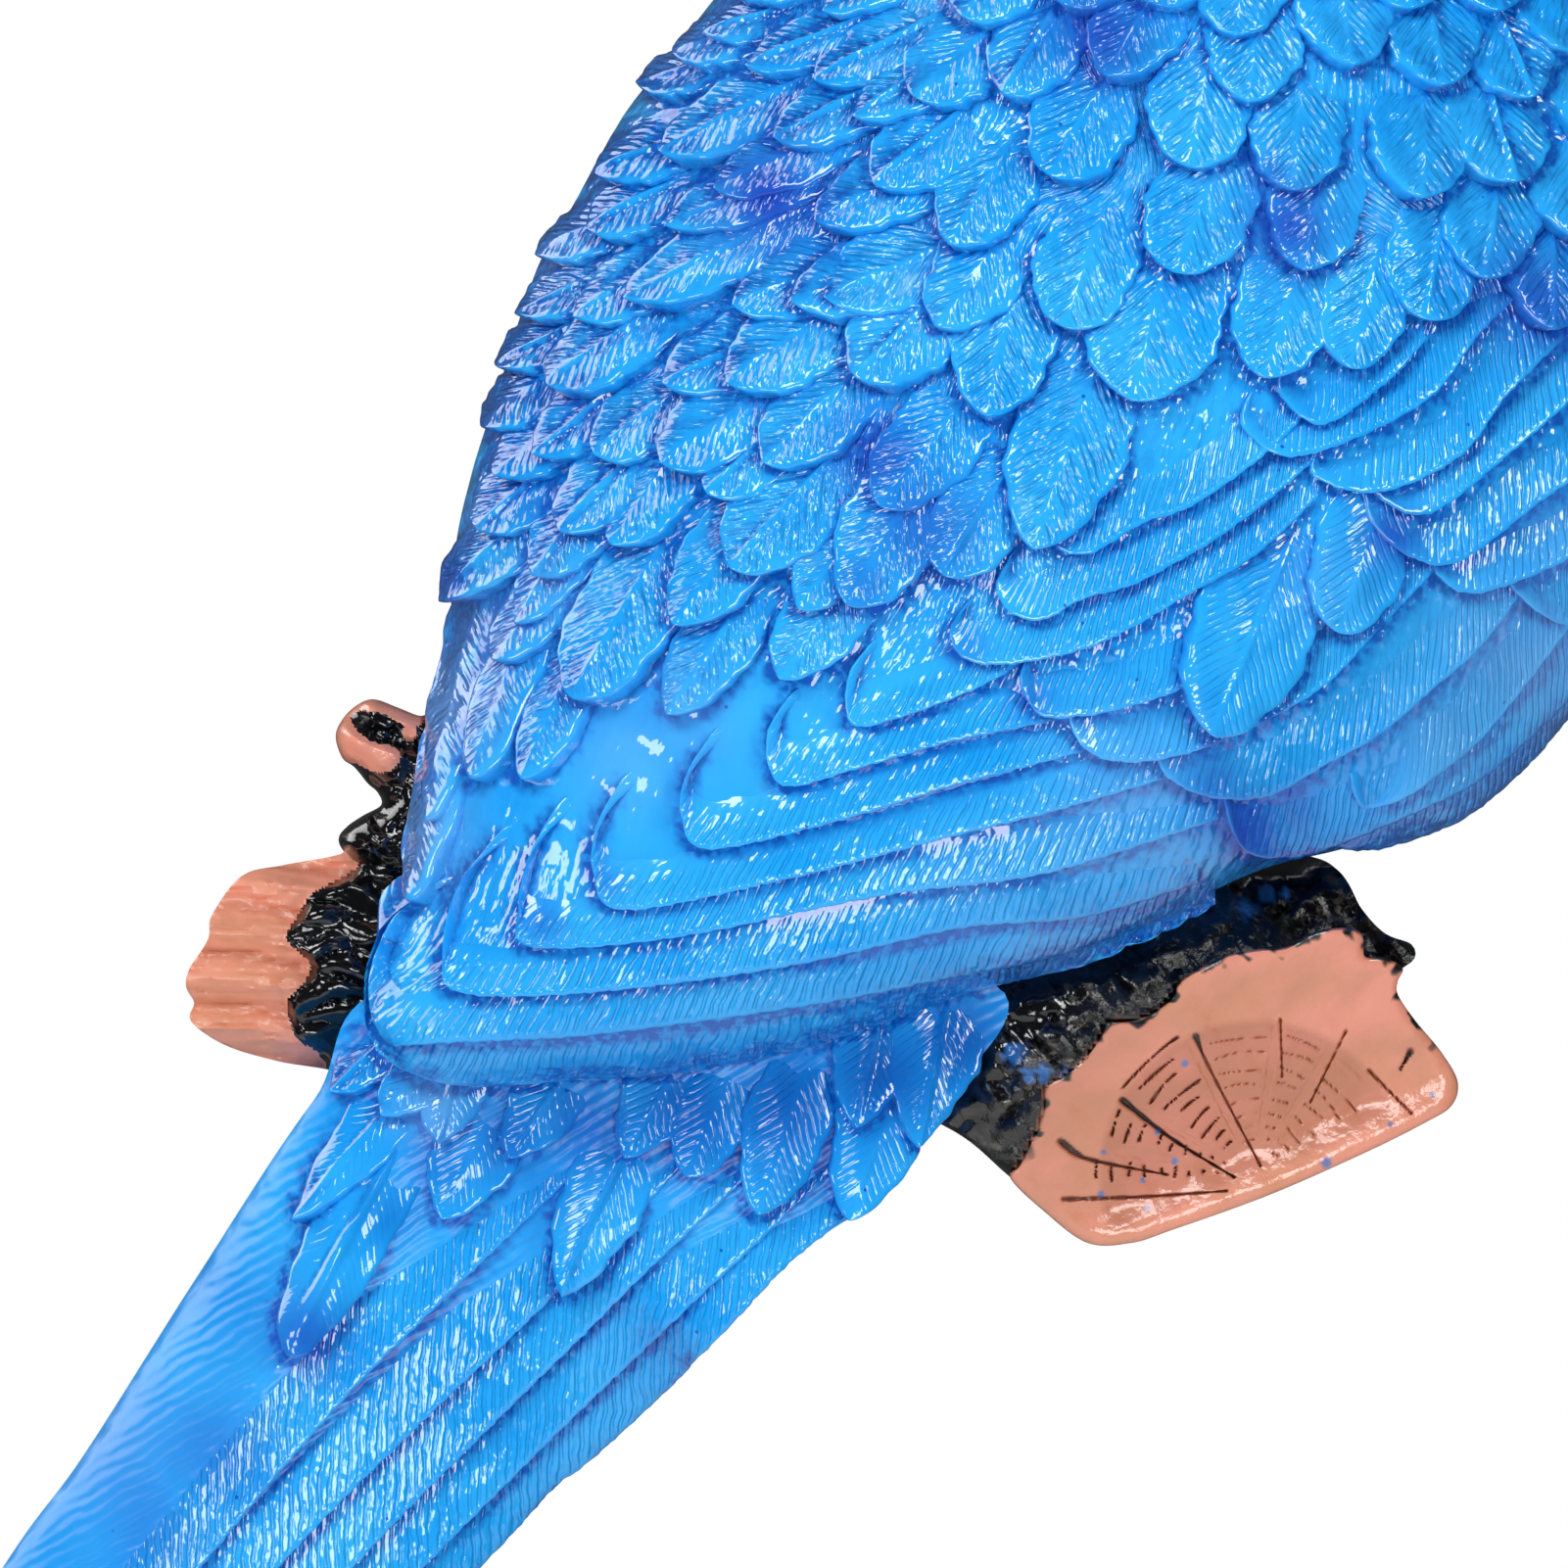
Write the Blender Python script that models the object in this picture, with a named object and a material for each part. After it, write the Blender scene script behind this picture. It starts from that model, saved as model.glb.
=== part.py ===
# Wall-hung parrot: a bird clinging to a short branch, cast in one with a flat back.
# Metres, +Z up, wall on the +Y side, front towards -Y, origin on the flat back.
import math

import bpy
import bmesh
import numpy as np
from mathutils.geometry import delaunay_2d_cdt

# Driving dimensions
# Points are given on a front sheet: columns to the right, rows downwards. The figure is 2854 rows tall.
HEIGHT_MM = 285.4
SHEET_MM = HEIGHT_MM / 2854
SHEET_COL = 800.0
SHEET_ROW = 800.0
METRES_PER_MM = 0.001

CREST_DEPTH_MM = 37.0
LIFT_TIP_MM = 2.3
LIFT_ROOT_MM = -1.6
PLATE_RIM_MM = 1.9
PLATE_INNER_MM = -1.8
ROOT_DEPTH_MM = 4.0
BACK_OVERRUN_MM = 3.0
FILL_MARGIN_MM = 6.0
FILL_GAP_MM = 6.2
NECK_PITCH_MM = 9.2
CROWN_PITCH_MM = 6.6
TAIL_RIM_MM = 1.4
TAIL_INNER_MM = -0.6
TAIL_ROOT_MM = 27.0
TAIL_TIP_MM = 9.0
TAIL_ROOT_EDGE_MM = 21.5
TAIL_EDGE_MM = 5.0
LOG_RADIUS_MM = 21.5
LOG_UPPER_MM = 21.5
LOG_LOWER_MM = 16.8
LOG_UPPER_SIDE = (0.67, 0.74)
LOG_CUT_SLOPE = 0.95
LOG_FOOT_MM = 3.0
STUB_RADIUS_MM = 13.0
STUB_TAPER_MM = 12.0
BEAK_EDGE_MM = 10.0
BEAK_SWELL_MM = 10.0
EYE_RADIUS_MM = 3.0
RING_PITCH_MM = 3.6
RING_DEPTH_MM = 1.1
CRACK_DEPTH_MM = 1.3
CRACK_WIDTH_MM = 0.8
BARK_RIDGE_MM = 0.9
VOXEL_MM = 0.8
TRIANGLES = 11000

# Front outline of the bird without its tail, from the neck down the left side and round the wing.
BIRD_OUTLINE = [
    (960, -330), (905, -245), (835, -140), (770, -60), (722, 0), (683, 50), (640, 105), (610, 155),
    (583, 205), (555, 250), (535, 300), (518, 355), (502, 410), (487, 455), (472, 510), (462, 560),
    (458, 610), (462, 650), (450, 715), (437, 780), (430, 840), (424, 890), (410, 940), (396, 985),
    (390, 1030), (400, 1065), (432, 1084), (480, 1092), (560, 1089), (700, 1078), (800, 1058),
    (900, 1028), (1000, 995), (1110, 965), (1200, 928), (1290, 888), (1370, 868), (1450, 843),
    (1500, 822), (1558, 772), (1600, 724), (1680, 645), (1765, 560), (1825, 470), (1848, 370),
    (1838, 260), (1800, 150), (1745, 50), (1690, -45), (1625, -150), (1570, -260), (1545, -340),
    (1545, -440), (1530, -540), (1480, -630), (1400, -690), (1300, -715), (1195, -705), (1100, -660),
    (1035, -590), (1000, -500), (985, -410),
]

# Height of the side wall above the flat back, at places round the outline.
WALL_HEIGHTS = [
    (960, -330, 7.0), (722, 0, 8.0), (550, 240, 9.0), (455, 600, 13.0), (420, 880, 22.0),
    (390, 1030, 26.0), (560, 1089, 25.0), (800, 1058, 24.0), (1000, 995, 23.0), (1200, 928, 22.0),
    (1370, 868, 18.0), (1600, 724, 13.0), (1848, 370, 9.0), (1745, 50, 8.0), (1545, -340, 7.0),
    (1300, -715, 6.0), (900, 600, 20.0), (1250, 300, 16.0),
]

# Direction in which feather tips point on the sheet, rows downwards.
LAY = [
    (750, 100, -0.92, 0.39), (780, 280, -0.93, 0.37), (650, 370, -0.84, 0.54), (820, 530, -0.71, 0.71),
    (640, 650, -0.41, 0.91), (900, 560, -0.55, 0.83), (1060, 450, -0.17, 0.98), (1150, 360, -0.25, 0.97),
    (1080, 270, -0.35, 0.94), (1100, 140, -0.54, 0.84), (1210, 100, -0.10, 1.0), (1340, 120, -0.05, 1.0),
    (1460, 130, 0.05, 1.0), (1550, 100, 0.30, 0.95), (1400, 300, -0.33, 0.94), (1250, -250, 0.0, 1.0),
    (950, -150, -0.75, 0.66), (1750, 150, 0.25, 0.97), (1800, 400, -0.35, 0.94), (560, 250, -0.85, 0.52),
    (500, 520, -0.62, 0.78), (1050, -300, -0.5, 0.87), (1500, -250, 0.35, 0.94), (1260, -600, 0.0, 1.0),
    (620, 1200, -0.45, 0.89), (400, 1200, -0.6, 0.8), (900, 1120, -0.25, 0.97),
]

# Single leaf feathers: tip column, tip row, length, half width, lift.
SCALE_FEATHERS = [
    (1030, 110, 150, 50, 1.0), (1130, 92, 150, 50, 1.0), (1075, 192, 160, 52, 1.1),
    (1210, 182, 165, 55, 1.1),
    (1268, 117, 150, 52, 1.0), (1255, 50, 140, 50, 0.9), (1370, 80, 150, 55, 1.0),
    (1460, 98, 150, 52, 1.0),
    (1550, 108, 150, 52, 1.0), (1310, 205, 150, 50, 1.2), (1435, 212, 150, 56, 1.2),
    (1530, 195, 150, 52, 1.1),
    (1195, 285, 170, 55, 1.2), (1085, 342, 170, 52, 1.2), (1320, 282, 150, 50, 1.2),
    (1280, 388, 175, 55, 1.3),
    (1365, 378, 185, 46, 1.2), (1150, 414, 190, 75, 1.3), (1048, 560, 250, 62, 1.5),
    (1005, 434, 180, 55, 1.3),
    (975, 262, 160, 50, 1.1), (880, 397, 170, 55, 1.2), (755, 402, 180, 52, 1.2),
    (850, 315, 170, 50, 1.1),
    (900, 200, 160, 50, 1.0), (960, 345, 160, 50, 1.0), (940, 110, 150, 48, 0.9),
    (1180, 20, 140, 50, 0.9),
    (1090, 20, 140, 50, 0.9), (1340, 0, 140, 50, 0.9), (1430, 20, 140, 50, 0.9), (1520, 20, 140, 50, 0.9),
    (1610, 60, 150, 52, 1.0), (1640, 160, 150, 52, 1.0), (1600, 250, 150, 52, 1.0),
    (1500, 290, 160, 52, 1.0),
    (1440, 330, 160, 50, 1.0), (1688, 112, 150, 50, 1.0), (1720, 210, 150, 52, 1.0),
    (1680, 290, 150, 52, 1.0),
    (1570, 340, 150, 50, 1.0), (1735, 305, 150, 50, 1.0), (990, 30, 150, 48, 0.9),
]

LONG_FEATHERS = [
    (772, 75, 210, 34, 0.9), (687, 163, 230, 40, 1.0), (692, 237, 230, 38, 1.0), (612, 237, 130, 36, 0.9),
    (652, 312, 290, 42, 1.1), (540, 322, 130, 34, 0.9), (574, 400, 180, 42, 1.1),
    (818, 318, 190, 44, 1.1),
    (522, 490, 130, 38, 1.0), (503, 542, 130, 40, 1.0), (588, 545, 170, 44, 1.2),
    (690, 480, 190, 46, 1.2),
    (758, 582, 210, 54, 1.3), (602, 720, 240, 52, 1.4), (702, 640, 190, 46, 1.2),
    (868, 615, 230, 56, 1.4),
    (466, 612, 170, 40, 1.1), (690, 730, 200, 42, 1.0), (800, 690, 190, 46, 1.1), (660, 90, 110, 30, 0.8),
    (880, 130, 210, 40, 0.9), (840, 235, 200, 42, 1.0), (760, 320, 190, 42, 1.0),
    (690, 400, 190, 42, 1.0),
    (620, 470, 150, 40, 1.0), (900, 520, 190, 48, 1.1), (960, 585, 200, 48, 1.1),
    (790, 480, 180, 46, 1.1),
    (540, 640, 180, 36, 0.9), (760, 0, 190, 34, 0.8), (850, 20, 190, 38, 0.8), (930, -30, 190, 40, 0.8),
    (495, 800, 330, 32, 1.0), (455, 840, 330, 30, 1.0), (545, 800, 260, 34, 1.0),
    (432, 925, 380, 28, 0.9),
    (730, 40, 130, 32, 0.9), (700, 60, 130, 32, 0.9), (560, 262, 110, 32, 0.9), (620, 180, 130, 34, 0.9),
    (600, 330, 150, 38, 1.0), (520, 375, 120, 36, 0.9), (505, 440, 120, 36, 0.9),
    (560, 470, 140, 38, 1.0),
    (640, 560, 170, 42, 1.1), (560, 590, 150, 40, 1.0), (520, 680, 200, 36, 1.0),
    (800, 150, 200, 38, 0.9),
    (740, 200, 200, 38, 0.9), (735, 510, 160, 42, 1.1), (820, 620, 190, 44, 1.1), (840, 90, 190, 38, 0.9),
]

# Rows and columns that the plain feathers on the neck and shoulder start from.
NECK_COL = 1255
NECK_TOP_ROW = -40
CROWN_ROW = -560
SHOULDER_ROWS = (60, 140, 220, 300)
SHOULDER_COLS = (1680, 1765, 1850)
SHOULDER_FEATHER = (150, 50, 1.0)

TAIL_COVERTS = [
    (444, 1165, 130, 42, 0.9), (306, 1251, 230, 36, 0.8), (449, 1241, 150, 48, 1.0),
    (574, 1313, 190, 46, 1.3),
    (638, 1180, 130, 42, 1.0), (772, 1237, 200, 46, 1.4), (862, 1240, 220, 50, 1.2),
    (930, 1168, 190, 52, 1.2),
    (700, 1200, 150, 44, 1.0), (292, 1384, 300, 44, 1.0), (395, 1142, 110, 34, 0.9),
    (345, 1120, 90, 30, 0.8),
    (870, 1150, 140, 44, 1.3), (520, 1180, 130, 40, 0.9),
]

# Nested wing feathers: outer path from the top of the tip round to the root, then the inner offset.
WING_ROWS = [
    [(440, 905), (400, 955), (382, 1010), (388, 1062), (430, 1088), (480, 1097), (560, 1093),
     (700, 1083), (800, 1063), (900, 1033), (1000, 998), (1150, 967), (1240, 925)],
    [(455, 895), (410, 950), (390, 1010), (404, 1055), (450, 1056), (600, 1046), (800, 1018),
     (980, 984), (1100, 960), (1240, 918)],
    [(515, 845), (480, 905), (461, 980), (476, 1010), (600, 1006), (800, 977), (980, 936), (1100, 928),
     (1220, 900)],
    [(575, 815), (550, 870), (538, 930), (551, 964), (700, 949), (900, 906), (1050, 885), (1240, 835)],
    [(640, 790), (616, 840), (612, 890), (641, 925), (800, 893), (920, 861), (1000, 840), (1200, 790)],
    [(730, 745), (705, 790), (700, 832), (726, 864), (850, 836), (980, 796), (1110, 765)],
    [(810, 705), (785, 750), (801, 800), (880, 781), (980, 752), (1080, 735)],
    [(890, 655), (866, 690), (871, 738), (920, 730), (990, 703), (1040, 680)],
]

GREAT_ROWS = [
    [(1340, 820), (1345, 852), (1400, 856), (1450, 843), (1500, 820), (1558, 770), (1600, 722),
     (1680, 643), (1765, 558)],
    [(1240, 770), (1246, 830), (1270, 862), (1330, 862), (1400, 836), (1450, 814), (1500, 790),
     (1550, 750), (1600, 700), (1680, 610), (1740, 530)],
    [(1375, 790), (1385, 818), (1420, 808), (1450, 790), (1500, 750), (1550, 690), (1600, 625),
     (1660, 560)],
    [(1185, 720), (1176, 772), (1200, 797), (1240, 808), (1290, 803), (1345, 773), (1400, 743),
     (1450, 700), (1510, 648), (1560, 590)],
    [(1100, 690), (1088, 735), (1110, 765), (1150, 773), (1200, 765), (1250, 747), (1300, 722),
     (1350, 690), (1400, 636), (1450, 588), (1490, 550)],
    [(1060, 650), (1038, 690), (1058, 727), (1100, 728), (1140, 720), (1200, 700), (1270, 660)],
    [(990, 610), (968, 645), (985, 672), (1030, 676), (1100, 662), (1150, 640), (1205, 608),
     (1260, 577), (1300, 547), (1340, 510)],
    [(1030, 565), (1014, 600), (1030, 626), (1062, 632), (1100, 612), (1150, 598), (1200, 572),
     (1240, 548), (1300, 503), (1340, 470)],
    [(1090, 505), (1064, 540), (1078, 563), (1110, 566), (1160, 537), (1200, 524), (1240, 500),
     (1290, 462), (1330, 425)],
]

# Broad coverts that lie over the nested rows, each with its own direction on the sheet.
COVERT_LEAVES = [
    (1222, 736, 260, 62, 1.75, -0.42, 0.9), (1352, 640, 200, 48, 1.2, -0.35, 0.93),
]

MEDIAN_ROWS = [
    [(1520, 560), (1542, 604), (1600, 632), (1680, 600), (1780, 520), (1830, 440)],
    [(1450, 540), (1458, 584), (1500, 601), (1600, 562), (1700, 500), (1790, 420)],
    [(1385, 500), (1392, 535), (1428, 566), (1480, 570), (1570, 505), (1660, 450), (1760, 380)],
    [(1400, 470), (1396, 505), (1450, 523), (1540, 455), (1620, 390), (1730, 330)],
    [(1340, 455), (1334, 488), (1398, 503), (1480, 466), (1530, 402), (1600, 340)],
    [(1270, 405), (1263, 440), (1318, 468), (1440, 415), (1495, 350), (1540, 310)],
    [(1310, 370), (1298, 402), (1340, 436), (1400, 398), (1450, 350)],
]

# Long nested tail feathers, each outer path from its tip at the lower left up to its root.
TAIL_ROWS = [
    [(215, 1795), (225, 1850), (300, 1785), (488, 1598), (560, 1520), (600, 1490), (720, 1380),
     (800, 1296), (851, 1254), (905, 1200)],
    [(60, 1890), (75, 1955), (200, 1840), (420, 1610), (590, 1440), (720, 1320), (850, 1200)],
    [(-60, 1960), (-40, 2030), (90, 1905), (340, 1620), (500, 1455), (660, 1300), (780, 1190)],
    [(-170, 2010), (-150, 2090), (0, 1935), (255, 1630), (420, 1460), (590, 1300), (700, 1190)],
    [(-238, 2035), (-225, 2085), (-140, 2010), (170, 1640), (340, 1440), (470, 1310), (600, 1190)],
]

LEFT_STUB = [
    (242, 895), (285, 884), (345, 872), (342, 858), (352, 845), (378, 832), (398, 815),
    (470, 800), (560, 840),
    (640, 950), (560, 1080), (420, 1110), (322, 1094), (276, 1086), (224, 1070), (189, 1045), (192, 1026),
    (184, 1010), (188, 990), (207, 960), (211, 935),
]

LOG_OUTLINE = [
    (640, 900), (900, 860), (1180, 850), (1330, 872), (1374, 890), (1398, 930), (1422, 955), (1449, 966),
    (1452, 981), (1434, 997), (1433, 1018), (1452, 1045), (1480, 1078), (1494, 1108), (1488, 1130),
    (1462, 1147), (1400, 1178), (1300, 1222), (1200, 1258), (1160, 1271), (1116, 1272), (1070, 1238),
    (1030, 1203), (975, 1158), (880, 1120), (700, 1080),
]

LOG_AXIS = [(560, 990), (800, 985), (1060, 1030), (1285, 1203)]
LOG_CHORD = [(1116, 1272), (1494, 1116)]
LOG_HEART = (1285, 1203)
LOG_CRACKS = [[(1272, 1195), (1222, 1062)], [(1265, 1208), (1146, 1122)], [(1250, 1212), (1086, 1172)],
              [(1255, 1220), (1092, 1231)], [(1330, 1165), (1395, 1092)], [(1420, 1112), (1452, 1062)]]
TWIG_RADII_MM = (3.0, 4.3, 4.2, 5.2)
STUB_AXIS = [(180, 985), (620, 965)]
TWIG = [(383, 757), (428, 838), (470, 900)]
STUB_BARK = (310, 985)
TWIG_BOX = [(300, 890), (425, 710)]
TAIL_LEFT = [(430, 1000), (316, 1127), (194, 1310), (77, 1494), (0, 1600), (-150, 1840), (-262, 2060)]
TAIL_TIP = [(-286, 2118), (-272, 2140)]
TAIL_RIGHT = [(-200, 2100), (40, 1960), (225, 1850), (300, 1785), (488, 1598), (560, 1520), (592, 1497),
              (720, 1378), (800, 1296), (851, 1256), (903, 1222), (950, 1142), (1000, 1000)]
TAIL_RIDGE = [(640, 950), (429, 1152), (291, 1382), (168, 1565), (-50, 1870), (-270, 2125)]

BEAK = [(1060, -640), (1000, -645), (935, -615), (885, -560), (862, -495), (868, -425), (893, -385),
        (905, -430), (925, -465), (955, -440), (985, -410), (1030, -430), (1075, -520)]
EYE = (1140, -560)


def plan(point):
    """Sheet point to x and z in millimetres."""
    return np.array([(point[0] - SHEET_COL) * SHEET_MM, (SHEET_ROW - point[1]) * SHEET_MM])


def plans(points):
    return np.array([plan(p) for p in points])


def lay_at(pts):
    """Unit direction of the feather tips at each place."""
    way = blend(LAY, pts) * [1.0, -1.0]
    return way / np.linalg.norm(way, axis=1)[:, None]


def smooth_path(points, step, closed=False):
    """Catmull-Rom curve through the points, sampled at about the step."""
    pts = np.asarray(points, dtype=float)
    count = len(pts)
    spans = count if closed else count - 1
    out = []
    for i in range(spans):
        if closed:
            a, b, c, d = (pts[(i + k - 1) % count] for k in range(4))
        else:
            a, b = pts[max(i - 1, 0)], pts[i]
            c, d = pts[i + 1], pts[min(i + 2, count - 1)]
        pieces = max(1, int(round(np.linalg.norm(c - b) / step)))
        for j in range(pieces):
            t = j / pieces
            out.append(0.5 * (2 * b + (c - a) * t + (2 * a - 5 * b + 4 * c - d) * t ** 2
                              + (3 * b - a - 3 * c + d) * t ** 3))
    if not closed:
        out.append(pts[-1])
    return np.array(out)


def inside(poly, pts):
    """True where a point lies in the polygon."""
    hit = np.zeros(len(pts), dtype=bool)
    x, z = pts[:, 0], pts[:, 1]
    for a, b in zip(poly, np.roll(poly, -1, axis=0)):
        if a[1] != b[1]:
            cross = (a[1] > z) != (b[1] > z)
            at = (b[0] - a[0]) * (z - a[1]) / (b[1] - a[1]) + a[0]
            hit ^= cross & (x < at)
    return hit


def distance(path, pts, closed=True):
    """Shortest distance from each point to the path, with the place along it."""
    best = np.full(len(pts), 1e9)
    place = np.zeros(len(pts))
    ends = np.roll(path, -1, axis=0) if closed else path[1:]
    run = 0.0
    for a, b in zip(path, ends):
        ab = b - a
        size = float(ab @ ab)
        if size < 1e-12:
            continue
        t = np.clip(((pts - a) @ ab) / size, 0.0, 1.0)
        gap = np.linalg.norm(pts - a - t[:, None] * ab, axis=1)
        near = gap < best
        best[near] = gap[near]
        place[near] = run + t[near] * math.sqrt(size)
        run += math.sqrt(size)
    return best, place / max(run, 1e-9)


def blend(samples, pts, power=3.0):
    """Inverse distance blend of the values that stand behind the first two numbers."""
    table = np.array([list(plan(s[:2])) + list(s[2:]) for s in samples])
    gap = np.linalg.norm(pts[:, None, :] - table[None, :, :2], axis=2) + 2.0
    weight = gap ** -power
    return (weight[:, :, None] * table[None, :, 2:]).sum(axis=1) / weight.sum(axis=1)[:, None]


class Field:
    """A height over the front, held on a square grid."""

    def __init__(self, low, high, step):
        self.low = np.array(low, dtype=float)
        self.step = step
        self.shape = (int((high[0] - low[0]) / step) + 1, int((high[1] - low[1]) / step) + 1)
        gx, gz = np.meshgrid(np.arange(self.shape[0]), np.arange(self.shape[1]), indexing="ij")
        self.points = np.stack([gx.ravel(), gz.ravel()], axis=1) * step + self.low
        self.value = np.zeros(self.shape)

    def at(self, pts):
        q = (pts - self.low) / self.step
        q = np.clip(q, 0.0, np.array(self.shape) - 1.001)
        i = q.astype(int)
        f = q - i
        v = self.value
        a = v[i[:, 0], i[:, 1]] * (1 - f[:, 0]) + v[i[:, 0] + 1, i[:, 1]] * f[:, 0]
        b = v[i[:, 0], i[:, 1] + 1] * (1 - f[:, 0]) + v[i[:, 0] + 1, i[:, 1] + 1] * f[:, 0]
        return a * (1 - f[:, 1]) + b * f[:, 1]


def body_field(outline):
    """Pillow-like height over the bird outline: a wall and a swell above it."""
    field = Field(outline.min(axis=0) - 4.0, outline.max(axis=0) + 4.0, 1.5)
    pts = field.points
    mask = inside(outline, pts).reshape(field.shape)
    phi = np.zeros(field.shape)
    gx, gz = np.meshgrid(np.arange(field.shape[0]), np.arange(field.shape[1]), indexing="ij")
    for turn in range(360):
        for colour in (0, 1):
            pick = mask & ((gx + gz) % 2 == colour)
            mean = np.zeros(field.shape)
            mean[1:-1, 1:-1] = (phi[2:, 1:-1] + phi[:-2, 1:-1] + phi[1:-1, 2:] + phi[1:-1, :-2]) / 4.0
            fresh = mean + field.step ** 2 / 2.0
            phi[pick] += 1.9 * (fresh[pick] - phi[pick])
    gap, _ = distance(outline, pts)
    gap = gap.reshape(field.shape)
    good = mask & (gap > 2.2)
    rate = np.where(good, phi / np.maximum(gap, 1e-6), 0.0)
    weight = good.astype(float)
    for turn in range(6):
        total = rate * weight
        share = weight.copy()
        for axis in (0, 1):
            for move in (1, -1):
                total = total + np.roll(rate * weight, move, axis=axis)
                share = share + np.roll(weight, move, axis=axis)
        fill = np.where(share > 0, total / np.maximum(share, 1e-9), 0.0)
        rate = np.where(good, rate, fill)
        weight = np.maximum(weight, (share > 0).astype(float))
    swell = np.sqrt(np.maximum(rate * gap, 0.0))
    swell = np.where(mask, swell, 0.0)
    wall = blend(WALL_HEIGHTS, pts)[:, 0].reshape(field.shape)
    swell *= CREST_DEPTH_MM / swell.max()
    field.value = wall + swell
    return field


def normals(height, pts):
    """Outward unit normals of the surface y = -height."""
    e = 1.2
    hx = (height(pts + [e, 0]) - height(pts - [e, 0])) / (2 * e)
    hz = (height(pts + [0, e]) - height(pts - [0, e])) / (2 * e)
    slope = np.sqrt(hx ** 2 + hz ** 2)
    cap = np.minimum(1.0, 1.6 / np.maximum(slope, 1e-9))
    vec = np.stack([-hx * cap, -np.ones(len(pts)), -hz * cap], axis=1)
    return vec / np.linalg.norm(vec, axis=1)[:, None]


class Solid:
    """Closed shells gathered into one mesh, in millimetres."""

    def __init__(self):
        self.verts = []
        self.faces = []
        self.count = 0

    def add(self, verts, faces):
        self.verts.append(np.asarray(verts, dtype=float))
        self.faces.extend([[i + self.count for i in f] for f in faces])
        self.count += len(verts)

    def slab(self, top, bottom, rows, cols):
        """Closed block between two grids of the same size."""
        n = rows * cols
        faces = []
        for r in range(rows - 1):
            for c in range(cols - 1):
                a = r * cols + c
                quad = [a, a + 1, a + cols + 1, a + cols]
                faces.append(quad)
                faces.append([n + i for i in reversed(quad)])
        ring = [c for c in range(cols)]
        ring += [r * cols + cols - 1 for r in range(1, rows)]
        ring += [(rows - 1) * cols + c for c in range(cols - 2, -1, -1)]
        ring += [r * cols for r in range(rows - 2, 0, -1)]
        for a, b in zip(ring, ring[1:] + ring[:1]):
            faces.append([b, a, n + a, n + b])
        self.add(np.concatenate([top, bottom]), faces)


def leaf(solid, height, tip, way, length, half, lift, rows=9, cols=7):
    """One overlapping feather: rooted in the body, lifted at its rounded tip."""
    side = np.array([-way[1], way[0]])
    u = np.sin(np.linspace(0.0, math.pi / 2, rows))
    v = np.linspace(-1.0, 1.0, cols)
    round_off = np.sqrt(1.0 - np.clip((u - 0.55) / 0.45, 0.0, 1.0) ** 2.3)
    belly = 0.72 + 0.28 * np.sin(np.minimum(u / 0.6, 1.0) * math.pi / 2)
    width = half * belly * np.maximum(round_off, 0.06)
    uu, vv = np.meshgrid(u, v, indexing="ij")
    along = (uu - 1.0) * length
    across = vv * width[:, None]
    pts = (tip + along[..., None] * way + across[..., None] * side).reshape(-1, 2)
    rise = LIFT_ROOT_MM + (LIFT_TIP_MM * lift - LIFT_ROOT_MM) * uu ** 0.8 - 0.5 * vv ** 2
    base = np.stack([pts[:, 0], -height(pts), pts[:, 1]], axis=1)
    out = normals(height, pts)
    solid.slab(base + out * rise.reshape(-1, 1), base - out * ROOT_DEPTH_MM, rows, cols)


def fan(solid, height, path, start, end, rim, inner, depth, cols=5):
    """One nested feather: its outer path stands proud and its inner side dips under the next."""
    outer = smooth_path(plans(path), 2.2)
    gap = np.linalg.norm(np.diff(outer, axis=0), axis=1)
    run = np.concatenate([[0.0], np.cumsum(gap)])
    t = run / run[-1]
    turn = np.clip(run / 12.0, 0.0, 1.0)[:, None]
    offset = (1 - turn) * np.array(start) + turn * np.array(end)
    v = np.array([0.0, 0.12, 0.4, 0.7, 1.0])[:cols]
    pts = (outer[:, None, :] + v[None, :, None] * offset[:, None, :]).reshape(-1, 2)
    rise = np.tile(rim + (inner - rim) * v, (len(outer), 1))
    rise[:, 0] -= 0.35
    rise -= 1.2 * np.clip((t - 0.8) / 0.2, 0, 1)[:, None]
    base = np.stack([pts[:, 0], -height(pts), pts[:, 1]], axis=1)
    out = normals(height, pts)
    solid.slab(base + out * rise.reshape(-1, 1), base - out * depth, len(outer), len(v))


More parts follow.
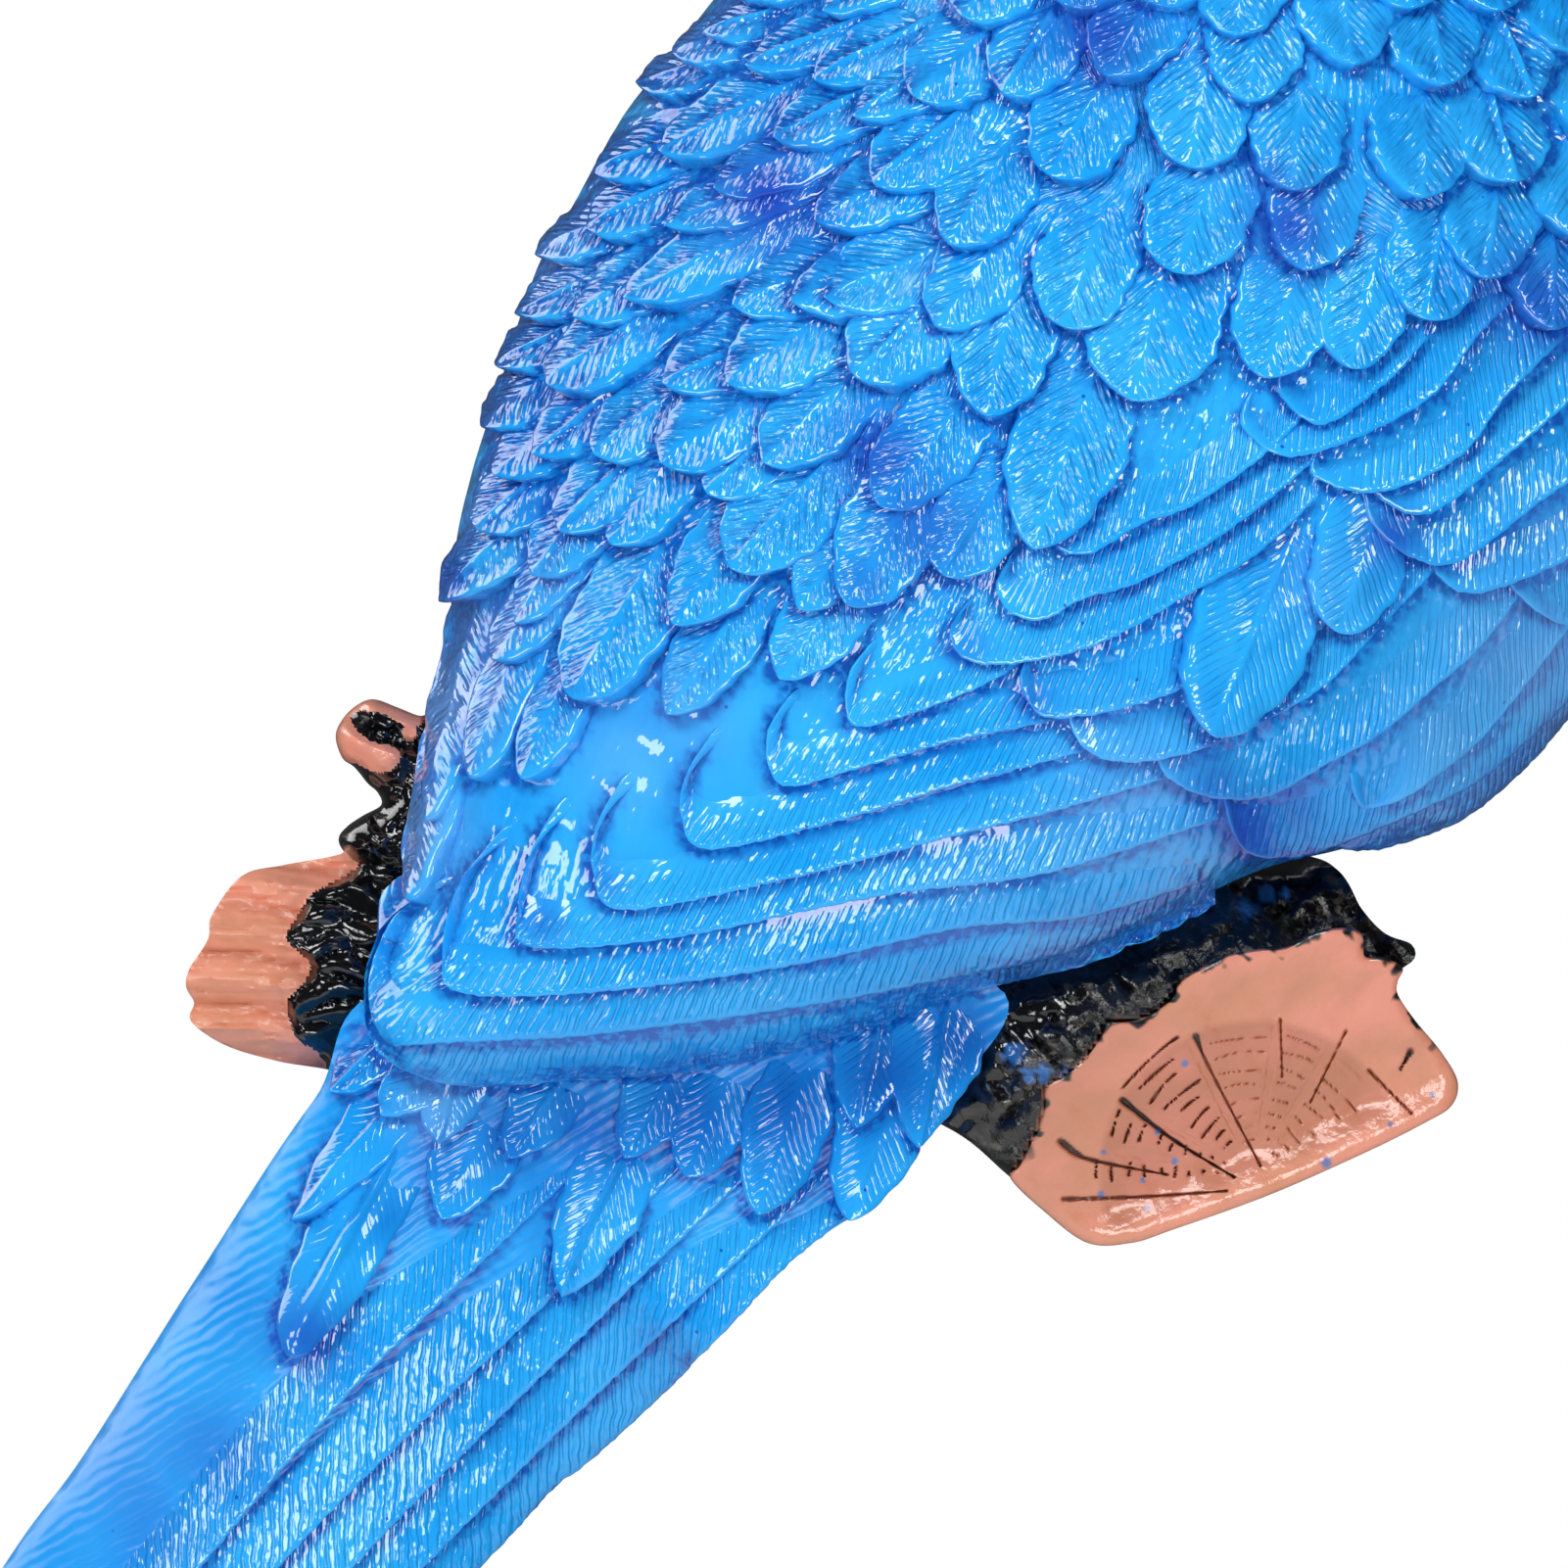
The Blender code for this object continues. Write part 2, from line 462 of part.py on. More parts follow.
def relief(solid, outline, height, step, edge_step):
    """Closed block under a height: flat behind the wall plane, the outline as its side."""
    rim = smooth_path(outline, edge_step, closed=True)
    low, high = rim.min(axis=0), rim.max(axis=0)
    across = np.arange(low[0], high[0], step)
    gx, gz = np.meshgrid(across, np.arange(low[1], high[1], step), indexing="ij")
    pts = np.stack([gx.ravel(), gz.ravel()], axis=1)
    pts = pts[inside(rim, pts)]
    gap, _ = distance(rim, pts)
    pts = pts[gap > 0.55 * step]
    every = [tuple(p) for p in rim] + [tuple(p) for p in pts]
    ring = list(range(len(rim)))
    flat = delaunay_2d_cdt(every, [], [ring], 1, 1e-5)
    xz = np.array([tuple(p) for p in flat[0]])
    tris = [list(f) for f in flat[2]]
    n = len(xz)
    top = np.stack([xz[:, 0], -np.maximum(height(xz), 0.4), xz[:, 1]], axis=1)
    back = np.stack([xz[:, 0], np.full(n, BACK_OVERRUN_MM), xz[:, 1]], axis=1)
    edges = {}
    for f in tris:
        for a, b in zip(f, f[1:] + f[:1]):
            edges[(a, b)] = edges.get((a, b), 0) + 1
    faces = [f for f in tris] + [[n + i for i in reversed(f)] for f in tris]
    for (a, b) in list(edges):
        if (b, a) not in edges:
            faces.append([b, a, n + a, n + b])
    solid.add(np.concatenate([top, back]), faces)


def tail_field():
    """Roof-like height with its ridge on a line, deep at the rump and thin at the tip."""
    outline = smooth_path(plans(TAIL_LEFT + TAIL_TIP + TAIL_RIGHT), 3.0)
    ridge = smooth_path(plans(TAIL_RIDGE), 3.0)
    field = Field(outline.min(axis=0) - 4.0, outline.max(axis=0) + 4.0, 1.0)
    pts = field.points
    edge, _ = distance(outline, pts, closed=False)
    edge = np.where(inside(outline, pts), edge, 0.0)
    top, place = distance(ridge, pts, closed=False)
    share = edge / np.maximum(edge + top, 1e-6)
    crest = TAIL_ROOT_MM - (TAIL_ROOT_MM - TAIL_TIP_MM) * place ** 0.9
    fall = np.clip((place - 0.08) / 0.32, 0.0, 1.0)
    fall = fall * fall * (3.0 - 2.0 * fall)
    side = TAIL_ROOT_EDGE_MM + (TAIL_EDGE_MM - TAIL_ROOT_EDGE_MM) * fall
    field.value = (side + np.maximum(crest - side, 1.0) * share ** 0.62).reshape(field.shape)
    return outline, field


def ripple(pts, scale):
    """Smooth repeatable unevenness between -1 and 1."""
    a = pts / scale
    return (np.sin(a[:, 0] * 2.1 + 1.3 * np.sin(a[:, 1] * 1.7)) * 0.5
            + np.sin(a[:, 1] * 2.7 + 1.1 * np.sin(a[:, 0] * 2.3 + 0.7)) * 0.5)


def log_height():
    """Half-round log whose end is cut on a slant, with bark ridges and ring grooves."""
    axis = smooth_path(plans(LOG_AXIS), 3.0)
    chord = plans(LOG_CHORD)
    along = (chord[1] - chord[0]) / np.linalg.norm(chord[1] - chord[0])
    up = np.array([-along[1], along[0]])
    heart = plan(LOG_HEART)

    def cut(pts):
        plane = 0.5 + LOG_CUT_SLOPE * ((pts - chord[0]) @ up)
        return 0.5 * (plane + LOG_FOOT_MM + np.sqrt((plane - LOG_FOOT_MM) ** 2 + 2.0))

    def round_bark(pts):
        gap, _ = distance(axis, pts, closed=False)
        upper = (pts - heart) @ np.array(LOG_UPPER_SIDE) > 0
        reach = np.clip(gap / np.where(upper, LOG_UPPER_MM, LOG_LOWER_MM), 0.0, 1.0)
        return gap, 3.0 + (LOG_RADIUS_MM - 3.0) * np.sqrt(1.0 - reach ** 2.2)

    def height(pts):
        gap, bark = round_bark(pts)
        bark += BARK_RIDGE_MM * (ripple(pts, 2.4) + 0.6 * np.sin(gap * 1.9))
        reach = np.linalg.norm(pts - heart, axis=1)
        groove = np.cos(reach / RING_PITCH_MM * 2 * math.pi)
        ring = -RING_DEPTH_MM * np.maximum(groove, 0.0) ** 2 * (reach > 4) * (reach < 19.5)
        for crack in LOG_CRACKS:
            aside, _ = distance(plans(crack), pts, closed=False)
            ring -= CRACK_DEPTH_MM * np.clip(1.0 - aside / CRACK_WIDTH_MM, 0.0, 1.0)
        return np.minimum(bark, cut(pts) + ring)

    def is_cut(pts):
        return cut(pts) < round_bark(pts)[1] + 0.3

    return height, is_cut


def stub_height(pts):
    """Half-round broken stub with deep lengthwise grooves, sinking towards its end."""
    axis = plans(STUB_AXIS)
    gap, _ = distance(axis, pts, closed=False)
    round_off = np.sqrt(np.maximum(STUB_RADIUS_MM ** 2 - gap ** 2, 3.0))
    groove = 0.9 * np.cos((pts[:, 1] + 0.08 * pts[:, 0]) * 1.25 + 0.6 * np.sin(pts[:, 0] * 0.25))
    end = np.clip((pts[:, 0] - axis[0, 0] + 2.0) / STUB_TAPER_MM, 0.0, 1.0)
    return round_off * (0.55 + 0.45 * end) + groove + 0.5 * ripple(pts, 2.2)


def tube(solid, path, radii, sides=14):
    """Closed round tube along a path of 3-D points."""
    path = np.asarray(path, dtype=float)
    verts = []
    for i, p in enumerate(path):
        ahead = path[min(i + 1, len(path) - 1)] - path[max(i - 1, 0)]
        ahead /= np.linalg.norm(ahead)
        a = np.cross(ahead, [0.0, 1.0, 0.0])
        a /= np.linalg.norm(a)
        b = np.cross(ahead, a)
        for k in range(sides):
            turn = 2 * math.pi * k / sides
            verts.append(p + radii[i] * (a * math.cos(turn) + b * math.sin(turn)))
    faces = [list(range(sides))]
    for i in range(len(path) - 1):
        for k in range(sides):
            j = (k + 1) % sides
            faces.append([i * sides + j, i * sides + k, (i + 1) * sides + k, (i + 1) * sides + j])
    last = (len(path) - 1) * sides
    faces.append([last + k for k in reversed(range(sides))])
    solid.add(verts, faces)


def ball(solid, centre, radii, rings=12, sides=20):
    """Closed ellipsoid."""
    verts = [np.array(centre) + np.array([0, 0, radii[2]])]
    for i in range(1, rings):
        a = math.pi * i / rings
        for k in range(sides):
            b = 2 * math.pi * k / sides
            verts.append(np.array(centre) + np.array([radii[0] * math.sin(a) * math.cos(b),
                                                      radii[1] * math.sin(a) * math.sin(b),
                                                      radii[2] * math.cos(a)]))
    verts.append(np.array(centre) - np.array([0, 0, radii[2]]))
    faces = []
    for k in range(sides):
        j = (k + 1) % sides
        faces.append([0, 1 + k, 1 + j])
        for i in range(rings - 2):
            a = 1 + i * sides
            faces.append([a + j, a + k, a + sides + k, a + sides + j])
        end = 1 + (rings - 2) * sides
        faces.append([len(verts) - 1, end + j, end + k])
    solid.add(verts, faces)


def fill_feathers(taken, outline):
    """Plain feathers by rule on the neck and shoulder, where none is placed by hand."""
    extra = []
    row = NECK_TOP_ROW
    odd = 0
    while row > CROWN_ROW:
        share = row / CROWN_ROW
        pitch = (NECK_PITCH_MM + (CROWN_PITCH_MM - NECK_PITCH_MM) * share) / SHEET_MM
        for k in range(-7, 8):
            col = NECK_COL + (k + odd / 2) * pitch
            extra.append((col, row, 1.47 * pitch, 0.55 * pitch, 0.95 - 0.4 * share))
        row -= pitch * 0.85
        odd = 1 - odd
    for number, row in enumerate(SHOULDER_ROWS):
        for col in SHOULDER_COLS:
            extra.append((col + (number % 2) * 32 + 24, row) + SHOULDER_FEATHER)
    have = plans([t[:2] for t in taken])
    spots = plans([e[:2] for e in extra])
    lone = np.array([np.min(np.linalg.norm(have - p, axis=1)) > FILL_GAP_MM for p in spots])
    clear = lone & inside(outline, spots) & (distance(outline, spots)[0] > FILL_MARGIN_MM)
    return [e for e, ok in zip(extra, clear) if ok]


def add_bird(solid):
    """Body swell with every feather that covers it."""
    outline = smooth_path(plans(BIRD_OUTLINE), 2.0, closed=True)
    field = body_field(outline)
    relief(solid, plans(BIRD_OUTLINE), field.at, 2.0, 2.0)
    for row in WING_ROWS:
        fan(solid, field.at, row, (7.0, 3.0), (0.5, 9.0), PLATE_RIM_MM, PLATE_INNER_MM, ROOT_DEPTH_MM)
    for row in GREAT_ROWS:
        fan(solid, field.at, row, (6.0, 4.0), (-2.0, 8.5), PLATE_RIM_MM, PLATE_INNER_MM, ROOT_DEPTH_MM)
    for row in MEDIAN_ROWS:
        fan(solid, field.at, row, (5.0, 4.0), (-3.0, 7.0), PLATE_RIM_MM, PLATE_INNER_MM, ROOT_DEPTH_MM)
    broad = plans([f[:2] for f in COVERT_LEAVES])
    for f, tip in zip(COVERT_LEAVES, broad):
        way = np.array([f[5], -f[6]]) / math.hypot(f[5], f[6])
        leaf(solid, field.at, tip, way, f[2] * SHEET_MM, f[3] * SHEET_MM, f[4])
    singles = SCALE_FEATHERS + LONG_FEATHERS
    singles = singles + fill_feathers(singles, outline)
    tips = plans([f[:2] for f in singles])
    near = inside(outline, tips) | (distance(outline, tips)[0] < 1.5)
    for f, tip, way, keep in zip(singles, tips, lay_at(tips), near):
        if keep:
            leaf(solid, field.at, tip, way, f[2] * SHEET_MM, f[3] * SHEET_MM, f[4])
    return field, outline


def add_tail(solid):
    """Tail with nested long feathers on its right side and coverts at its root."""
    outline, field = tail_field()
    height = field.at
    relief(solid, plans(TAIL_LEFT + TAIL_TIP + TAIL_RIGHT), height, 2.0, 2.0)
    for row in TAIL_ROWS:
        fan(solid, height, row, (1.0, 6.0), (-6.6, 5.4), TAIL_RIM_MM, TAIL_INNER_MM, 3.0)
    tips = plans([f[:2] for f in TAIL_COVERTS])
    for f, tip, way in zip(TAIL_COVERTS, tips, lay_at(tips)):
        leaf(solid, height, tip, way, f[2] * SHEET_MM, f[3] * SHEET_MM, f[4])


def add_branch(solid):
    """Short bent branch flush with the wall: log end, broken stub and twig stub."""
    height, _ = log_height()
    relief(solid, plans(LOG_OUTLINE), height, 0.9, 1.2)
    relief(solid, plans(LEFT_STUB), stub_height, 0.9, 1.2)
    points = plans(TWIG)
    depth = (9.0, 8.0, 7.0)
    path = [(p[0], -d, p[1]) for p, d in zip(points, depth)]
    first = np.array(path[0]) + (np.array(path[0]) - np.array(path[1])) * 0.12
    tube(solid, [first] + path, TWIG_RADII_MM)


def add_head(solid, field):
    """Plain hooked beak and a plain eye on the side of the head."""
    beak = plans(BEAK)
    edge = smooth_path(beak, 1.5, closed=True)

    def height(pts):
        gap, _ = distance(edge, pts)
        return BEAK_EDGE_MM + BEAK_SWELL_MM * np.sqrt(np.clip(gap / 7.0, 0.0, 1.0))

    relief(solid, beak, height, 1.2, 1.2)
    spot = plan(EYE)
    top = field.at(spot[None, :])[0]
    ball(solid, (spot[0], -top + 1.0, spot[1]), (EYE_RADIUS_MM, 0.87 * EYE_RADIUS_MM, EYE_RADIUS_MM))


def material(name, colour, rough):
    mat = bpy.data.materials.new(name)
    mat.use_nodes = True
    shader = mat.node_tree.nodes["Principled BSDF"]
    shader.inputs["Base Color"].default_value = colour
    shader.inputs["Roughness"].default_value = rough
    mat.diffuse_color = colour
    return mat


def bake(obj, name):
    """Mesh of the object with its modifiers applied."""
    graph = bpy.context.evaluated_depsgraph_get()
    mesh = bpy.data.meshes.new_from_object(obj.evaluated_get(graph))
    mesh.name = name
    old = obj.data
    obj.modifiers.clear()
    obj.data = mesh
    bpy.data.meshes.remove(old)
    return obj


def cut_flat(obj):
    """Everything behind the wall plane taken off, which leaves one flat back."""
    bm = bmesh.new()
    bmesh.ops.create_cube(bm, size=1.0)
    for v in bm.verts:
        v.co.x *= 0.8
        v.co.z *= 0.8
        v.co.y = v.co.y * 0.1 + 0.05
    mesh = bpy.data.meshes.new("wall")
    bm.to_mesh(mesh)
    bm.free()
    box = bpy.data.objects.new("wall", mesh)
    bpy.context.scene.collection.objects.link(box)
    cut = obj.modifiers.new("flat_back", "BOOLEAN")
    cut.operation = "DIFFERENCE"
    cut.solver = "EXACT"
    cut.object = box
    bake(obj, "parrot_figurine")
    bpy.data.objects.remove(box)


def paint(obj, outline):
    """Blue bird, black bark, salmon cut wood and a dark beak, by place."""
    _, is_cut = log_height()
    log = smooth_path(plans(LOG_OUTLINE), 2.0, closed=True)
    stub = smooth_path(plans(LEFT_STUB), 2.0, closed=True)
    beak = smooth_path(plans(BEAK), 2.0, closed=True)
    mesh = obj.data
    for mat in (material("blue_gloss_paint", (0.02, 0.28, 0.85, 1), 0.25),
                material("black_gloss_paint", (0.01, 0.01, 0.015, 1), 0.3),
                material("salmon_paint", (0.78, 0.30, 0.18, 1), 0.4),
                material("dark_grey_paint", (0.04, 0.04, 0.045, 1), 0.35)):
        mesh.materials.append(mat)
    mids = np.array([tuple(p.center) for p in mesh.polygons]) / METRES_PER_MM
    pts = mids[:, [0, 2]]
    tail = smooth_path(plans(TAIL_LEFT + TAIL_TIP + TAIL_RIGHT), 3.0)
    bird = inside(outline, pts) | inside(tail, pts)
    on_log = inside(log, pts) & ~bird
    on_stub = inside(stub, pts) & ~bird
    cut = is_cut(pts)
    on_beak = inside(beak, pts) & ~inside(outline, pts)
    stub_end = plan(STUB_BARK)[0]
    twig_low, twig_high = plan(TWIG_BOX[0]), plan(TWIG_BOX[1])
    on_twig = (pts[:, 0] < twig_high[0]) & (pts[:, 1] > twig_low[1]) & (pts[:, 1] < twig_high[1]) & ~bird
    for i, face in enumerate(mesh.polygons):
        slot = 0
        if on_log[i]:
            slot = 2 if cut[i] else 1
        elif on_stub[i]:
            slot = 2 if pts[i, 0] < stub_end else 1
        elif on_beak[i]:
            slot = 3
        elif on_twig[i]:
            slot = 1
        face.material_index = int(slot)


def main():
    for old in list(bpy.data.objects):
        bpy.data.objects.remove(old)
    solid = Solid()
    field, outline = add_bird(solid)
    add_tail(solid)
    add_branch(solid)
    add_head(solid, field)
    verts = np.concatenate(solid.verts) * METRES_PER_MM
    mesh = bpy.data.meshes.new("rough")
    mesh.from_pydata(verts.tolist(), [], solid.faces)
    obj = bpy.data.objects.new("parrot_figurine", mesh)
    bpy.context.scene.collection.objects.link(obj)
    skin = obj.modifiers.new("skin", "REMESH")
    skin.mode = "VOXEL"
    skin.voxel_size = VOXEL_MM * METRES_PER_MM
    skin.adaptivity = 0.0
    bake(obj, "skin")
    count = sum(len(p.vertices) - 2 for p in obj.data.polygons)
    thin = obj.modifiers.new("thin", "DECIMATE")
    thin.ratio = TRIANGLES / count
    thin.use_collapse_triangulate = True
    bake(obj, "thin")
    cut_flat(obj)
    paint(obj, outline)


main()
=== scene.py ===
# Wall-hung parrot clinging to a short branch: one resin casting, painted by hand and varnished.
import math

import bpy
import numpy as np
from mathutils.geometry import delaunay_2d_cdt
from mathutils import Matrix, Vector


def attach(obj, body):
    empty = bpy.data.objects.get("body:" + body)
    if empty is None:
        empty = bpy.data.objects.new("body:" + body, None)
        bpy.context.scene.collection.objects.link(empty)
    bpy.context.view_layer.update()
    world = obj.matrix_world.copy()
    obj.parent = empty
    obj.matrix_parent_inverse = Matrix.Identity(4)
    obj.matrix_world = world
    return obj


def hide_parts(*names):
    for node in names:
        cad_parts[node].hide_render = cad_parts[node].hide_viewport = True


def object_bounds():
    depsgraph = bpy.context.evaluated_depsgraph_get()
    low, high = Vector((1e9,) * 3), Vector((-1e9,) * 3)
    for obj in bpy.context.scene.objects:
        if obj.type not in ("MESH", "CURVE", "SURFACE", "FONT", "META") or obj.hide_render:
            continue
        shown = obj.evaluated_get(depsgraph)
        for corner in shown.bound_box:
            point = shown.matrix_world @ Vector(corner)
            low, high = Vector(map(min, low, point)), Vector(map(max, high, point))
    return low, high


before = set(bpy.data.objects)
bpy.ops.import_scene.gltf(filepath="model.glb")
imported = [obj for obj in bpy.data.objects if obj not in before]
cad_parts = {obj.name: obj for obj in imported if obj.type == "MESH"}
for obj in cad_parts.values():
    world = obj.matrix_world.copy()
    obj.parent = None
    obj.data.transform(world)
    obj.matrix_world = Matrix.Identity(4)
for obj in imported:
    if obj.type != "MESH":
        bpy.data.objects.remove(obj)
cad_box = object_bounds()
NODE = "parrot_figurine"


# Front sheet and camera
# The ornament hangs flat on a wall and is looked at straight on, through a long lens.
# Places are given on a front sheet: columns to the right, rows downwards, ten to a millimetre.
SHEET_MM = 0.1
SHEET_COL = 800.0
SHEET_ROW = 800.0
METRES = 0.001
FRAME_WIDTH = 0.1601
FRAMED_DEPTH = 0.030
FRAME_SHIFT = 0.00005
CAMERA_AWAY = 2.2
SENSOR_MM = 36.0

camera_data = bpy.data.cameras.new("camera")
camera_data.sensor_width = SENSOR_MM
camera_data.lens = SENSOR_MM * CAMERA_AWAY / FRAME_WIDTH
camera_data.clip_end = 20.0
camera = bpy.data.objects.new("camera", camera_data)
camera.location = (FRAME_SHIFT, -FRAMED_DEPTH - CAMERA_AWAY, -FRAME_SHIFT)
camera.rotation_euler = (math.pi / 2, 0.0, 0.0)
bpy.context.scene.collection.objects.link(camera)
bpy.context.scene.camera = camera
bpy.context.scene.view_settings.view_transform = "Standard"


def plans(points):
    """Sheet points to x and z in millimetres."""
    p = np.array([point[:2] for point in points], dtype=float)
    return np.stack([(p[:, 0] - SHEET_COL) * SHEET_MM, (SHEET_ROW - p[:, 1]) * SHEET_MM], axis=1)


# Studio
# Soft boxes round the figure, the key high on the left, in a dim surround that looks white to the
# camera. The floor is a matt white sheet well below, because the figure hangs on a wall.
def shader_node(tree, kind, settings=None):
    """Adds a node. A setting is a property, a socket's value, or a node or output to link there."""
    made = tree.nodes.new("ShaderNode" + kind)
    for key, value in (settings or {}).items():
        if isinstance(value, bpy.types.Node):
            value = next(output for output in value.outputs if output.enabled)
        if isinstance(value, bpy.types.NodeSocket):
            tree.links.new(value, made.inputs[key])
        elif isinstance(key, str) and hasattr(made, key):
            setattr(made, key, value)
        else:
            made.inputs[key].default_value = value
    return made


def linear(code):
    """Linear colour of an sRGB hex code."""
    parts = [int(code[i:i + 2], 16) / 255.0 for i in (1, 3, 5)]
    return tuple(c / 12.92 if c <= 0.04045 else ((c + 0.055) / 1.055) ** 2.4 for c in parts) + (1.0,)


def blank_paint(name):
    """A material with no nodes yet, and its tree."""
    material = bpy.data.materials.new(name)
    material.use_nodes = True
    material.node_tree.nodes.clear()
    return material, material.node_tree


def finish_paint(tree, settings):
    """Ends a material with its surface."""
    shader_node(tree, "OutputMaterial", {"Surface": shader_node(tree, "BsdfPrincipled", settings)})


SURROUND_LIGHT = 0.26
FRONT_GLOSS = 0.04
BACK_GLOSS = 0.05
world = bpy.data.worlds.new("studio")
world.use_nodes = True
room = world.node_tree
room.nodes.clear()
rays = shader_node(room, "LightPath").outputs
seen = shader_node(room, "Math", {"operation": "MAXIMUM", 0: rays["Is Camera Ray"],
                                  1: rays["Is Transmission Ray"]})
heading = shader_node(room, "SeparateXYZ", {0: shader_node(room, "TexCoord").outputs["Generated"]}).outputs
gloss = shader_node(room, "MapRange", {"From Min": -0.5, "From Max": 0.4, "To Min": FRONT_GLOSS,
                                       "To Max": BACK_GLOSS, "Value": heading["Y"]})
lit = shader_node(room, "Mix", {"data_type": "FLOAT", 0: rays["Is Glossy Ray"], 2: SURROUND_LIGHT, 3: gloss})
level = shader_node(room, "Mix", {"data_type": "FLOAT", 0: seen, 2: lit, 3: 1.0})
white = shader_node(room, "Background", {"Color": linear("#FFFFFF"), "Strength": level})
shader_node(room, "OutputWorld", {"Surface": white})
bpy.context.scene.world = world

# Name, place, width in metres, watts.
SOFT_BOXES = [
    ("key", (-0.55, -1.00, 0.80), 0.44, 6.6), ("left", (-0.98, -0.72, -0.22), 0.40, 3.7),
    ("side", (-0.95, 0.50, 0.62), 0.80, 6.2), ("top", (0.15, -0.60, 1.00), 0.25, 1.8),
    ("right", (0.85, -0.80, 0.25), 0.34, 4.2), ("low", (0.12, -1.22, -0.52), 0.44, 5.3),
]
BOX_AIM = (0.0, -0.02, 0.0)
for name, place, width, watts in SOFT_BOXES:
    box = bpy.data.lights.new(name, "AREA")
    box.size = width
    box.energy = watts
    lamp = bpy.data.objects.new(name, box)
    lamp.location = place
    away = [a - b for a, b in zip(BOX_AIM, place)]
    flat = math.hypot(away[0], away[1])
    lamp.rotation_euler = (math.atan2(flat, -away[2]), 0.0, math.atan2(-away[0], away[1]))
    bpy.context.scene.collection.objects.link(lamp)

FLOOR_BELOW = 0.85
FLOOR_HALF = 0.9
floor_mesh = bpy.data.meshes.new("floor")
floor_z = cad_box[0][2] - FLOOR_BELOW
floor_corners = [(x * FLOOR_HALF, y * FLOOR_HALF, floor_z) for x, y in ((-1, -1), (1, -1), (1, 1), (-1, 1))]
floor_mesh.from_pydata(floor_corners, [], [(0, 1, 2, 3)])
floor = bpy.data.objects.new("floor", floor_mesh)
bpy.context.scene.collection.objects.link(floor)
floor_paint, floor_tree = blank_paint("matt_white_floor")
finish_paint(floor_tree, {"Base Color": linear("#F4F4F4"), "Roughness": 0.9})
floor_mesh.materials.append(floor_paint)


# Bird's body
# The swell of back, wings and head that every feather grows from, cast in polyurethane resin.
# It is a pillow over the bird's outline, on a side wall that stands on the flat back.
CREST_DEPTH_MM = 37.0
BIRD_OUTLINE = [
    (960, -330), (905, -245), (835, -140), (770, -60), (722, 0), (683, 50), (640, 105), (610, 155),
    (583, 205), (555, 250), (535, 300), (518, 355), (502, 410), (487, 455), (472, 510), (462, 560),
    (458, 610), (462, 650), (450, 715), (437, 780), (430, 840), (424, 890), (410, 940), (396, 985),
    (390, 1030), (400, 1065), (432, 1084), (480, 1092), (560, 1089), (700, 1078), (800, 1058),
    (900, 1028), (1000, 995), (1110, 965), (1200, 928), (1290, 888), (1370, 868), (1450, 843),
    (1500, 822), (1558, 772), (1600, 724), (1680, 645), (1765, 560), (1825, 470), (1848, 370),
    (1838, 260), (1800, 150), (1745, 50), (1690, -45), (1625, -150), (1570, -260), (1545, -340),
    (1545, -440), (1530, -540), (1480, -630), (1400, -690), (1300, -715), (1195, -705), (1100, -660),
    (1035, -590), (1000, -500), (985, -410),
]
# Height of the side wall, at places round the outline: column, row, millimetres.
WALL_HEIGHTS = [
    (960, -330, 7.0), (722, 0, 8.0), (550, 240, 9.0), (455, 600, 13.0), (420, 880, 22.0),
    (390, 1030, 26.0), (560, 1089, 25.0), (800, 1058, 24.0), (1000, 995, 23.0), (1200, 928, 22.0),
    (1370, 868, 18.0), (1600, 724, 13.0), (1848, 370, 9.0), (1745, 50, 8.0), (1545, -340, 7.0),
    (1300, -715, 6.0), (900, 600, 20.0), (1250, 300, 16.0),
]
# Feather lay on the sheet, rows downwards: column, row, then the way the tips point.
LAY = [
    (750, 100, -0.92, 0.39), (780, 280, -0.93, 0.37), (650, 370, -0.84, 0.54), (820, 530, -0.71, 0.71),
    (640, 650, -0.41, 0.91), (900, 560, -0.55, 0.83), (1060, 450, -0.17, 0.98), (1150, 360, -0.25, 0.97),
    (1080, 270, -0.35, 0.94), (1100, 140, -0.54, 0.84), (1210, 100, -0.10, 1.0), (1340, 120, -0.05, 1.0),
    (1460, 130, 0.05, 1.0), (1550, 100, 0.30, 0.95), (1400, 300, -0.33, 0.94), (1250, -250, 0.0, 1.0),
    (950, -150, -0.75, 0.66), (1750, 150, 0.25, 0.97), (1800, 400, -0.35, 0.94), (560, 250, -0.85, 0.52),
    (500, 520, -0.62, 0.78), (1050, -300, -0.5, 0.87), (1500, -250, 0.35, 0.94), (1260, -600, 0.0, 1.0),
    (620, 1200, -0.45, 0.89), (400, 1200, -0.6, 0.8), (900, 1120, -0.25, 0.97), (450, 850, -0.2, 0.98),
]


def smooth_path(points, step, closed=False):
    """Catmull-Rom curve through the points, sampled at about the step."""
    pts = np.asarray(points, dtype=float)
    count = len(pts)
    out = []
    for i in range(count if closed else count - 1):
        if closed:
            a, b, c, d = (pts[(i + k - 1) % count] for k in range(4))
        else:
            a, b = pts[max(i - 1, 0)], pts[i]
            c, d = pts[i + 1], pts[min(i + 2, count - 1)]
        pieces = max(1, int(round(np.linalg.norm(c - b) / step)))
        t = (np.arange(pieces) / pieces)[:, None]
        out.append(0.5 * (2 * b + (c - a) * t + (2 * a - 5 * b + 4 * c - d) * t ** 2
                          + (3 * b - a - 3 * c + d) * t ** 3))
    if not closed:
        out.append(pts[-1:])
    return np.concatenate(out)


